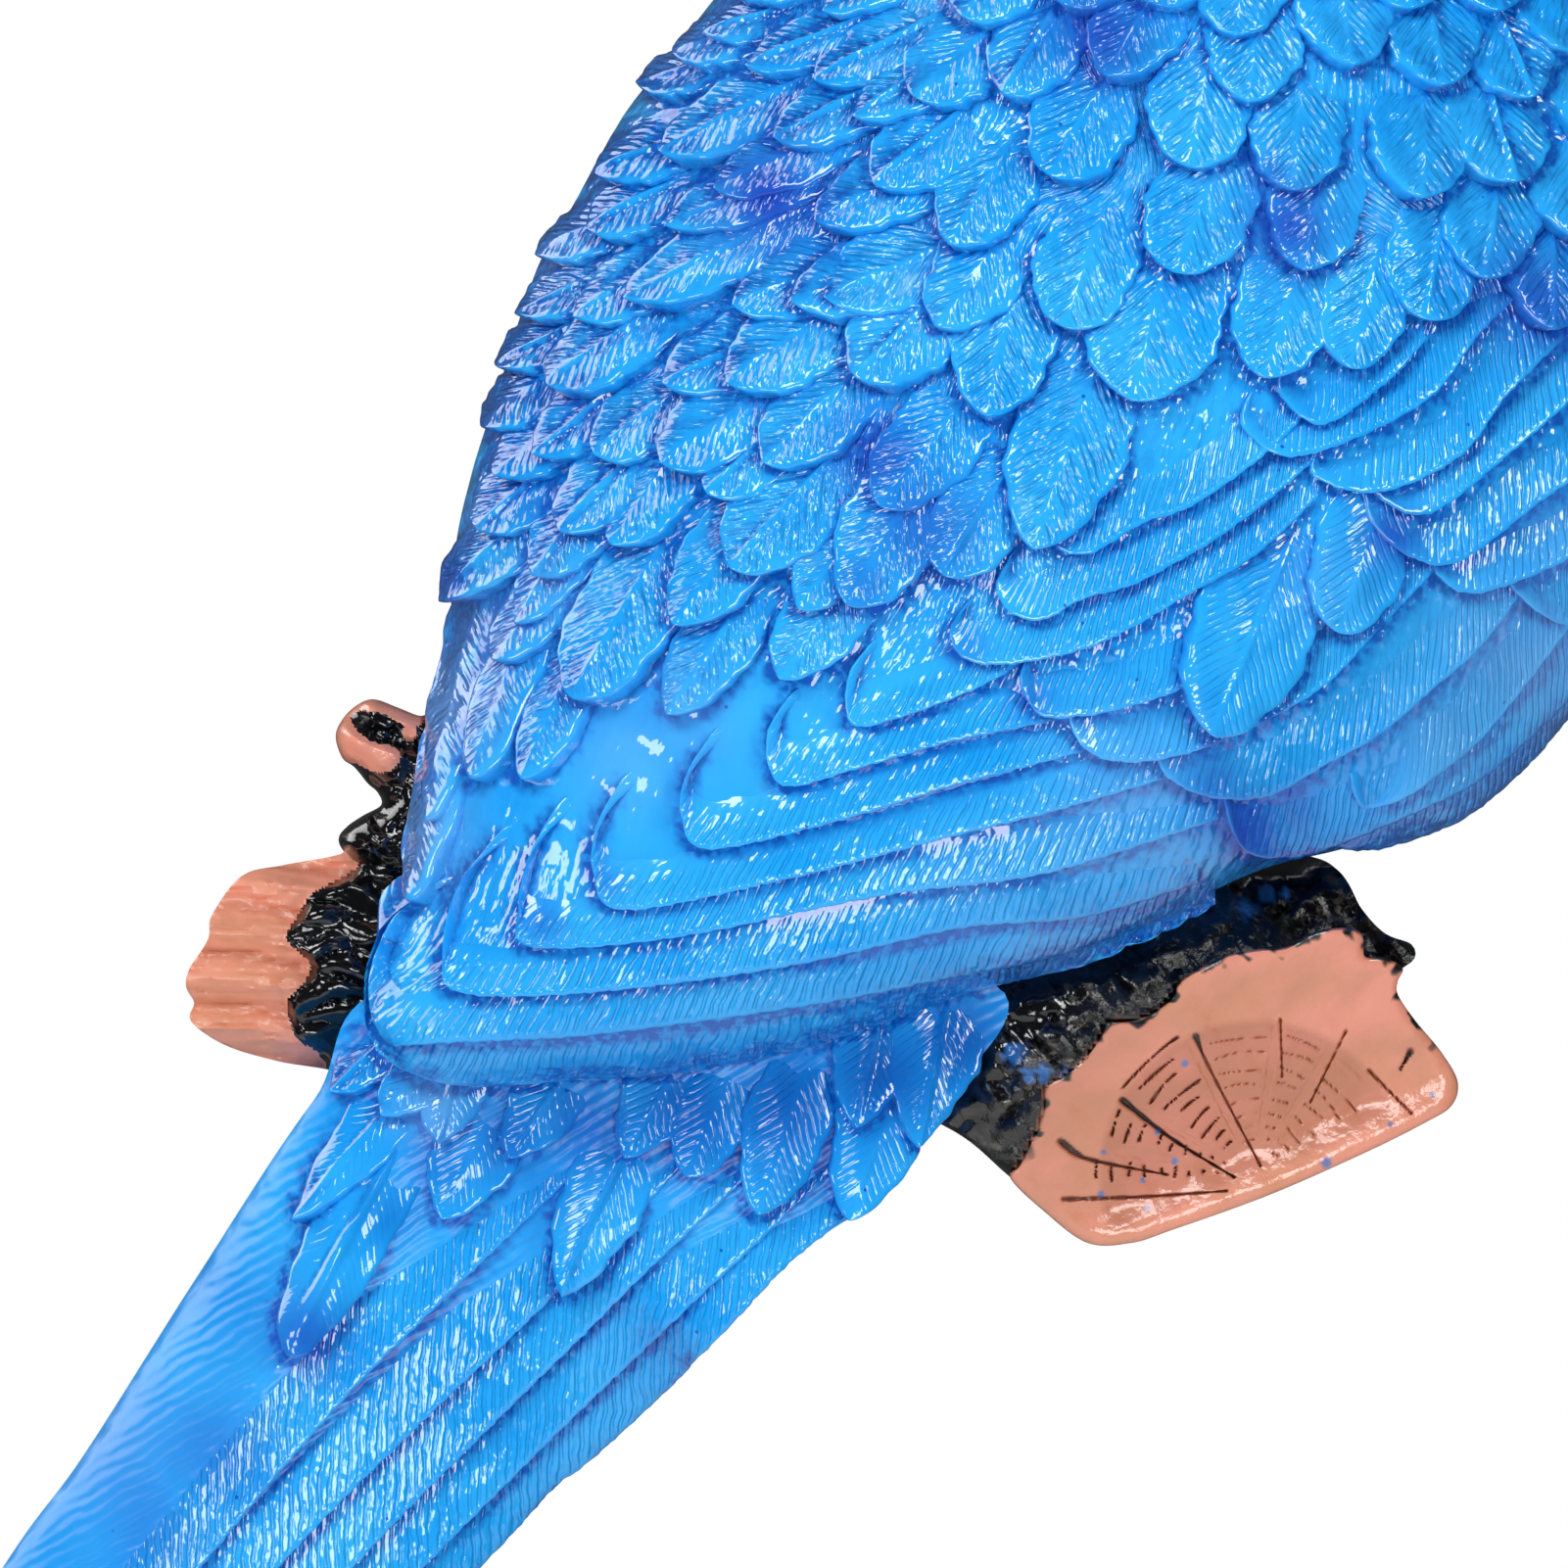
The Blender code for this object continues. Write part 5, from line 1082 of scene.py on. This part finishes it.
def bark_enamel():
    """Black gloss enamel over rough bark, with a grey-brown speckle where the paint is thin."""
    material, tree, place, parts = carved_paint("black_gloss_bark_enamel")
    grit = shader_node(tree, "TexNoise", {"Scale": 1000.0 / GRIT_MM, "Detail": 5.0, "Roughness": 0.6,
                                          "Vector": place})
    patches = shader_node(tree, "TexNoise", {"Scale": 1000.0 / PATCH_MM, "Detail": 3.0, "Vector": place})
    dust = shader_node(tree, "MapRange", {"From Min": 0.56, "From Max": 0.64, "Value": grit})
    thin = shader_node(tree, "MapRange", {"From Min": 0.5, "From Max": 0.7, "To Max": 0.12, "Value": patches})
    bare = shader_node(tree, "Math", {"operation": "ADD", "use_clamp": True, 0: thin, 1: parts["X"]})
    share = shader_node(tree, "Math", {"operation": "MULTIPLY", 0: dust, 1: bare})
    black = shader_node(tree, "Mix", {"data_type": "RGBA", 0: share, 6: linear(BARK_BLACK),
                                      7: linear(BARE_SPECKLE)})
    colour = shader_node(tree, "Mix", {"data_type": "RGBA", 0: parts["Z"], 6: black, 7: linear(BLOT_BLUE)})
    rough = shader_node(tree, "MapRange", {"To Min": 0.1, "To Max": 0.4, "Value": patches})
    coarse = shader_node(tree, "Math", {"operation": "MULTIPLY_ADD", 0: bare, 1: 0.8, 2: 0.05})
    crumbs = shader_node(tree, "Math", {"operation": "MULTIPLY", 0: grit, 1: coarse})
    bump = shader_node(tree, "Bump", {"Strength": 1.0, "Distance": CRUMB_HEIGHT_MM * METRES,
                                      "Height": crumbs})
    finish_paint(tree, {"Base Color": colour, "Roughness": rough, "Normal": bump, "Coat Normal": bump,
                        "Specular IOR Level": 0.1, "Coat Weight": 1.0, "Coat Roughness": 0.04,
                        "Coat IOR": VARNISH_IOR})
    return material


def salmon_acrylic(name, varnish, varnish_rough):
    """Salmon acrylic over sawn and broken wood, with darker brown along its grooves and cracks and as painted
    shade beside overlapping parts, and with paint specks.
    """
    material, tree, place, parts = carved_paint(name)
    cloud = shader_node(tree, "TexNoise", {"Scale": 1000.0 / MOTTLE_MM, "Detail": 4.0, "Vector": place})
    grain = shader_node(tree, "TexNoise", {"Scale": 1000.0 / WOOD_GRAIN_MM, "Detail": 4.0, "Vector": place})
    span = shader_node(tree, "MapRange", {"From Min": 0.38, "From Max": 0.62, "Value": cloud})
    colour = shader_node(tree, "Mix", {"data_type": "RGBA", 0: span, 6: linear(SALMON_DARK),
                                       7: linear(SALMON_PALE)})
    for part, code in (("Y", BROWN_AND_SHADE), ("X", CRACK_BLACK), ("Z", SPECK_BLUE)):
        colour = shader_node(tree, "Mix", {"data_type": "RGBA", 0: parts[part], 6: colour, 7: linear(code)})
    rough = shader_node(tree, "MapRange", {"To Min": 0.25, "To Max": 0.5, "Value": grain})
    bump = shader_node(tree, "Bump", {"Strength": 0.6, "Distance": GRAIN_HEIGHT_MM * METRES,
                                      "Height": grain})
    finish_paint(tree, {"Base Color": colour, "Roughness": rough, "Normal": bump, "Coat Normal": bump,
                        "Coat Weight": varnish, "Coat Roughness": varnish_rough})
    return material


bark_black = bark_enamel()
salmon = salmon_acrylic("varnished_salmon_acrylic_on_sawn_wood", 0.9, 0.06)
salmon_satin = salmon_acrylic("satin_salmon_acrylic_on_broken_wood", 0.35, 0.25)
# Blue paint that strayed on the bark: column, row, radius.
BARK_BLOTS = [
    (1036, 1078, 12), (1050, 1098, 8), (1066, 1096, 9), (1090, 1099, 6), (1277, 928, 9), (1300, 915, 8),
    (1318, 913, 5),
]


def bark_blots(pts):
    """Share of bare speckle beside the sawn face, and the strayed blue paint."""
    blue = np.zeros((len(pts), 3))
    above = (pts - log_heart) @ BARK_SIDE > 8.0
    blue[:, 0] = 0.8 * np.exp(-(distance(face_zone, pts)[0] / 3.2) ** 2) * above
    for spot, (_, _, size) in zip(plans(BARK_BLOTS), BARK_BLOTS):
        gap = np.hypot(*(pts - spot).T) / (size * SHEET_MM) + 0.45 * ripple(pts, 0.5)
        blue[:, 2] = np.maximum(blue[:, 2], unit(3.4 - 3.2 * gap))
    return blue


bark = Shells()
relief(bark, plans(LOG_OUTLINE), log_height, 0.5, 0.6, bark_blots)
bark.piece("log_bark", [bark_black])


def face_values(pts):
    """Depth of the carved rings and cracks, the black and blue paint in them, and the brown of the inner
    field and along the rings and cracks.
    """
    from_heart = pts - log_heart
    above = from_heart @ chord_up
    reach = np.hypot(from_heart[:, 0], from_heart[:, 1]) / SHEET_MM
    angle = np.degrees(np.arctan2(-from_heart[:, 1], from_heart[:, 0])) % 360.0
    ink = np.zeros((len(pts), 3))
    field = unit((FACE_FIELD - reach) / 8.0) * unit((above + 0.6) / 0.9)
    ridge = np.exp(-((reach - FACE_FIELD - 9.0) / 6.0) ** 2) * (ripple(pts, 3.1) > -0.2) * (above > 1.0)
    depth = FIELD_DEPTH_MM * field * unit(above / 5.0) - FIELD_DEPTH_MM * ridge
    ink[:, 1] = FIELD_BROWN * field
    rings = np.array(FACE_RINGS)
    dice = np.random.default_rng(11)
    for number, (start, end, shift, outer, black) in enumerate(FACE_SECTORS):
        wedge = unit(np.minimum(angle - start, end - angle) / 2.0) * (reach < outer + 8)
        order = np.clip(np.searchsorted(rings, reach - shift), 1, len(rings) - 1)
        climb = unit((reach - shift - rings[order - 1]) / (rings[order] - rings[order - 1]))
        depth -= RING_STEP_MM * climb * wedge
        span = end - start
        inked = black > 0.3
        for ring in rings[rings <= outer]:
            first, last = start + span * dice.uniform(0.03, 0.3), end - span * dice.uniform(0.03, 0.3)
            if not inked:
                first, last = start + 0.5, end - 0.5
            thick = RING_CUT_MM if inked else FAINT_CUT_MM
            share = unit((angle - first) / (last - first))
            to_end = np.minimum(angle - first, last - angle) * math.radians(1.0) * reach * SHEET_MM
            wave = 1.7 * np.sin(np.radians(angle) * 7.0 + ring * 1.3 + number * 2.1)
            aside = np.abs(reach - ring - shift - wave) * SHEET_MM
            width = thick * (0.75 + 0.35 * np.sin(share * 7.0 + ring))
            cut = unit(1.3 - aside / width) * unit(to_end / 0.4)
            depth = np.maximum(depth, 0.2 + (0.35 + 0.4 * inked) * cut)
            ink[:, 0] = np.maximum(ink[:, 0], black * unit(cut * 2.5 - 0.8))
            ink[:, 1] = np.maximum(ink[:, 1], 0.8 * cut)
    for crack, black in FACE_CRACKS:
        aside, place = distance(smooth_path(plans(crack), 1.0), pts, closed=False)
        broad = 0.1 + 0.3 * black * (1.0 - place) ** 1.6 + 0.04 * np.sin(place * 40.0)
        cut = unit(1.3 - aside / broad)
        depth = np.maximum(depth, 0.25 + 0.6 * cut)
        ink[:, 0] = np.maximum(ink[:, 0], black * unit(cut * 2.0 - 0.5))
        ink[:, 1] = np.maximum(ink[:, 1], 0.9 * cut)
    for spot, (_, _, size) in zip(plans(FACE_SPECKS), FACE_SPECKS):
        gap = np.hypot(pts[:, 0] - spot[0], pts[:, 1] - spot[1])
        ink[:, 2] = np.maximum(ink[:, 2], unit(2.0 - 1.6 * gap / (size * SHEET_MM)) * 0.85)
    return depth, ink


def ring_quads(rings, around):
    """Vertex numbers of closed rings one inside the next, the same one step on, and their quads."""
    index = np.arange(rings * around).reshape(rings, around)
    onward = np.roll(index, -1, axis=1)
    return index, onward, np.stack([index[:-1], index[1:], onward[1:], onward[:-1]], axis=-1).reshape(-1, 4)


# The sawn face is a sheet of rays from the heart of the wood out to the rim, on a slab of its own.
face_rim = smooth_path(plans(FACE_OUTLINE), 0.22, closed=True)
face_steps = np.linspace(0.008, 1.0, 125)
face_pts = (log_heart + face_steps[:, None, None] * (face_rim - log_heart)[None, :, :]).reshape(-1, 2)
face_depth, face_ink = face_values(face_pts)
rim_gap = distance(face_rim, face_pts)[0]
# Bark paint runs unevenly over the upper rim.
upper_rim = unit(((face_pts - log_heart) @ BARK_SIDE - 6.0) / 3.0)
spill = unit((0.35 + 0.75 * ripple(face_pts, 1.2) + 0.4 * ripple(face_pts, 0.6) - rim_gap) * 3.0)
face_ink[:, 0] = np.maximum(face_ink[:, 0], spill * upper_rim)
bevel = 1.3 * (1.0 - np.sqrt(1.0 - unit(1.0 - rim_gap / 1.6) ** 2))
chord_gap = (face_pts - log_heart) @ chord_up / 4.0
face_level = cut_height(face_pts) - face_depth - bevel
face_level = face_level + 0.22 * ripple(face_pts, 2.3) * np.clip(0.25 + chord_gap, 0.25, 1.0) + 0.35
face_level += 0.9 * unit(1.0 - rim_gap / 4.5) ** 2 * unit(chord_gap)
face_top = np.stack([face_pts[:, 0], -np.maximum(face_level, 0.3), face_pts[:, 1]], axis=1)
around = len(face_rim)
index, onward, face_quads = ring_quads(len(face_steps), around)
hub_y = -cut_height(log_heart[None, :])[0]
low_ring = face_top[index[-1]].copy()
low_ring[:, 1] = np.minimum(low_ring[:, 1] + FACE_SLAB_MM, 0.0)
hubs = [np.array([[log_heart[0], y, log_heart[1]]]) for y in (hub_y, min(hub_y + FACE_SLAB_MM, 0.0))]
hub = len(face_top)
lower = hub + 1 + np.arange(around)
face_walls = np.stack([index[-1], lower, np.roll(lower, -1), onward[-1]], axis=1)
face_tris = np.concatenate([np.stack([np.full(around, hub), index[0], onward[0]], axis=1),
                            np.stack([lower, np.full(around, hub + 1 + around), np.roll(lower, -1)], axis=1)])
face = Shells()
face.add(np.concatenate([face_top, hubs[0], low_ring, hubs[1]]), np.concatenate([face_quads, face_walls]),
         face_tris, np.concatenate([face_ink, np.zeros((2 + around, 3))]))
face.piece("log_sawn_face", [salmon])

# Broken stub on the left: salmon splintered end, then bark up to the bird.
LEFT_STUB = [
    (242, 895), (285, 884), (345, 872), (342, 858), (352, 845), (378, 832), (398, 815), (470, 800),
    (560, 840), (640, 950), (560, 1080), (420, 1110), (322, 1094), (276, 1086), (224, 1070), (189, 1045),
    (192, 1026), (184, 1010), (188, 990), (207, 960), (211, 935),
]
STUB_AXIS = [(180, 985), (620, 965)]
STUB_RADIUS_MM = 13.0
STUB_BORDER = [
    (345, 868), (362, 884), (330, 905), (314, 914), (300, 936), (288, 958), (300, 972), (314, 988),
    (304, 1008), (289, 1024), (292, 1046), (302, 1066), (328, 1090), (360, 1200), (900, 1200), (900, 700),
    (340, 700), (338, 858),
]
stub_border = smooth_path(plans(STUB_BORDER), 0.8, closed=True)


def stub_groove(pts):
    """Place across the grain, and the wave of the broad grooves along it."""
    across = pts[:, 1] + 0.08 * pts[:, 0]
    return across, np.cos(across * 1.25 + 0.6 * np.sin(pts[:, 0] * 0.25))


def stub_height(pts):
    """Half-round stub with splinter grooves on its end and lumpy bark behind them."""
    gap = distance(plans(STUB_AXIS), pts, closed=False)[0]
    swell = np.sqrt(np.maximum(STUB_RADIUS_MM ** 2 - gap ** 2, 3.0))
    across, groove = stub_groove(pts)
    splinters = 0.30 * np.abs(np.sin(across * 2.9 + 0.8 * np.sin(pts[:, 0] * 0.4))) - 0.15
    splinters += 0.12 * np.sin(across * 9.0 + 1.5 * np.sin(pts[:, 0] * 0.6))
    end = unit((pts[:, 0] + 64.0) / 12.0)
    wood = swell * (0.55 + 0.45 * end) + 0.9 * groove + splinters + 0.1 * ripple(pts, 0.9)
    rough = swell + 1.2 + 1.2 * (np.abs(ripple(pts * [0.6, 1.3], 2.3)) ** 0.7 - 0.4) + 0.08 * ripple(pts, 0.8)
    reach = unit(distance(stub_border, pts)[0] / 0.8)
    return np.where(stub_bark(pts), wood + (rough - wood) * reach, wood)


def stub_values(pts):
    """Darker brown in the bottoms of the broad grooves."""
    return np.stack([np.zeros(len(pts)), unit(-stub_groove(pts)[1] - 0.55) * 0.8, np.zeros(len(pts))], axis=1)


def stub_bark(pts):
    return inside(stub_border, pts)


stub = Shells()
relief(stub, plans(LEFT_STUB), stub_height, 0.32, 0.4, stub_values)
stub.piece("broken_stub", [salmon_satin, bark_black], stub_bark)

# Twig stub: bark up to a salmon broken end with a black slit in it.
TWIG_OUTLINE = [
    (338, 752), (344, 735), (357, 721), (376, 713), (400, 721), (424, 730), (440, 728), (480, 740),
    (500, 800), (490, 880), (430, 905), (366, 890), (346, 870), (341, 856), (350, 844), (366, 833),
    (385, 822), (381, 809), (371, 800), (357, 783), (345, 774),
]
TWIG_SALMON = [
    (330, 752), (338, 730), (355, 714), (376, 706), (402, 714), (424, 724), (430, 734), (424, 741),
    (414, 744), (402, 736), (384, 727), (364, 725), (354, 730), (356, 739), (366, 750), (380, 758),
    (394, 760), (405, 767), (406, 776), (398, 785), (386, 789), (370, 785), (357, 779), (340, 778),
]
TWIG_CHIP = [
    (409, 744), (419, 741), (423, 751), (415, 757), (408, 753),
]
TWIG_SLIT = [
    (353, 728), (372, 742), (396, 752), (424, 762),
]
twig_rim = smooth_path(plans(TWIG_OUTLINE), 0.5, closed=True)
twig_salmon = smooth_path(plans(TWIG_SALMON), 0.4, closed=True)
twig_chip = smooth_path(plans(TWIG_CHIP), 0.4, closed=True)
twig_slit = smooth_path(plans(TWIG_SLIT), 1.0)


def twig_bark(pts):
    return ~(inside(twig_salmon, pts) | inside(twig_chip, pts))


def twig_height(pts):
    """Rounded twig, lumpy where it is bark, with the slit cut into its end."""
    edge = distance(twig_rim, pts)[0]
    swell = 7.0 + 6.5 * np.sqrt(1.0 - (1.0 - unit(edge / 4.6)) ** 2)
    lip = unit(distance(twig_salmon, pts)[0] / 0.7)
    slit = unit(1.3 - distance(twig_slit, pts, False)[0] / 1.3)
    rough = 0.9 * (np.abs(ripple(pts, 1.7)) ** 0.7 - 0.5) + 0.12 * ripple(pts, 0.6)
    wood = 0.35 * lip + 0.08 * ripple(pts, 0.8)
    return swell - 1.8 * slit + np.where(twig_bark(pts), (rough - 0.3) * lip, wood)


twig = Shells()
relief(twig, plans(TWIG_OUTLINE), twig_height, 0.28, 0.35)
twig.piece("twig_stub", [salmon, bark_black], twig_bark)


# Head
# The photograph ends below the head, so it is finished plainly: the body's own dome, a smooth
# hooked beak in dark grey enamel and a plain eye in black, both with a soft shine.
BEAK = [
    (1060, -640), (1000, -645), (935, -615), (885, -560), (862, -495), (868, -425), (893, -385),
    (905, -430), (925, -465), (955, -440), (985, -410), (1030, -430), (1075, -520),
]
EYE = [(1140, -560)]
EYE_RADIUS_MM = 3.0


def plain_enamel(name, code, rough):
    """Smooth brushed enamel with faint mottling."""
    material, tree = blank_paint(name)
    cloud = shader_node(tree, "TexNoise", {"Scale": 1000.0 / 4.0, "Detail": 4.0,
                                           "Vector": shader_node(tree, "TexCoord").outputs["Object"]})
    mottle = shader_node(tree, "Math", {"operation": "MULTIPLY", 0: cloud, 1: 0.3})
    colour = shader_node(tree, "Mix", {"data_type": "RGBA", 0: mottle, 6: linear(code), 7: linear("#4A4C52")})
    bump = shader_node(tree, "Bump", {"Strength": 0.4, "Distance": 0.2 * METRES, "Height": cloud})
    finish_paint(tree, {"Base Color": colour, "Roughness": rough, "Normal": bump, "Coat Weight": 0.5,
                        "Coat Roughness": 0.1})
    return material


beak_rim = smooth_path(plans(BEAK), 0.8, closed=True)


def beak_height(pts):
    gap = distance(beak_rim, pts)[0]
    return 10.0 + 10.0 * np.sqrt(unit(gap / 7.0))


beak = Shells()
relief(beak, plans(BEAK), beak_height, 0.7, 0.7)
beak.piece("beak", [plain_enamel("dark_grey_beak_enamel", "#2A2B30", 0.3)])

eye_place = plans(EYE)
eye_top = bird_field.at(eye_place)[0]
eye_centre = np.array([eye_place[0, 0], -eye_top + 1.0, eye_place[0, 1]])
eye = Shells()
around, rings = 40, 22
ball = []
for i in range(1, rings):
    down = math.pi * i / rings
    for k in range(around):
        round_it = 2 * math.pi * k / around
        spot = [math.sin(down) * math.cos(round_it), -math.cos(down), math.sin(down) * math.sin(round_it)]
        ball.append(eye_centre + np.array(spot) * EYE_RADIUS_MM)
index, onward, eye_quads = ring_quads(rings - 1, around)
eye_tris = np.concatenate([np.stack([np.full(around, len(ball)), index[0], onward[0]], axis=1),
                           np.stack([np.full(around, len(ball) + 1), onward[-1], index[-1]], axis=1)])
ball += [eye_centre + [0, -EYE_RADIUS_MM, 0], eye_centre + [0, EYE_RADIUS_MM, 0]]
eye.add(np.array(ball), eye_quads, eye_tris, np.zeros((len(ball), 3)))
eye.piece("eye", [plain_enamel("black_eye_enamel", "#0C0C0E", 0.08)])
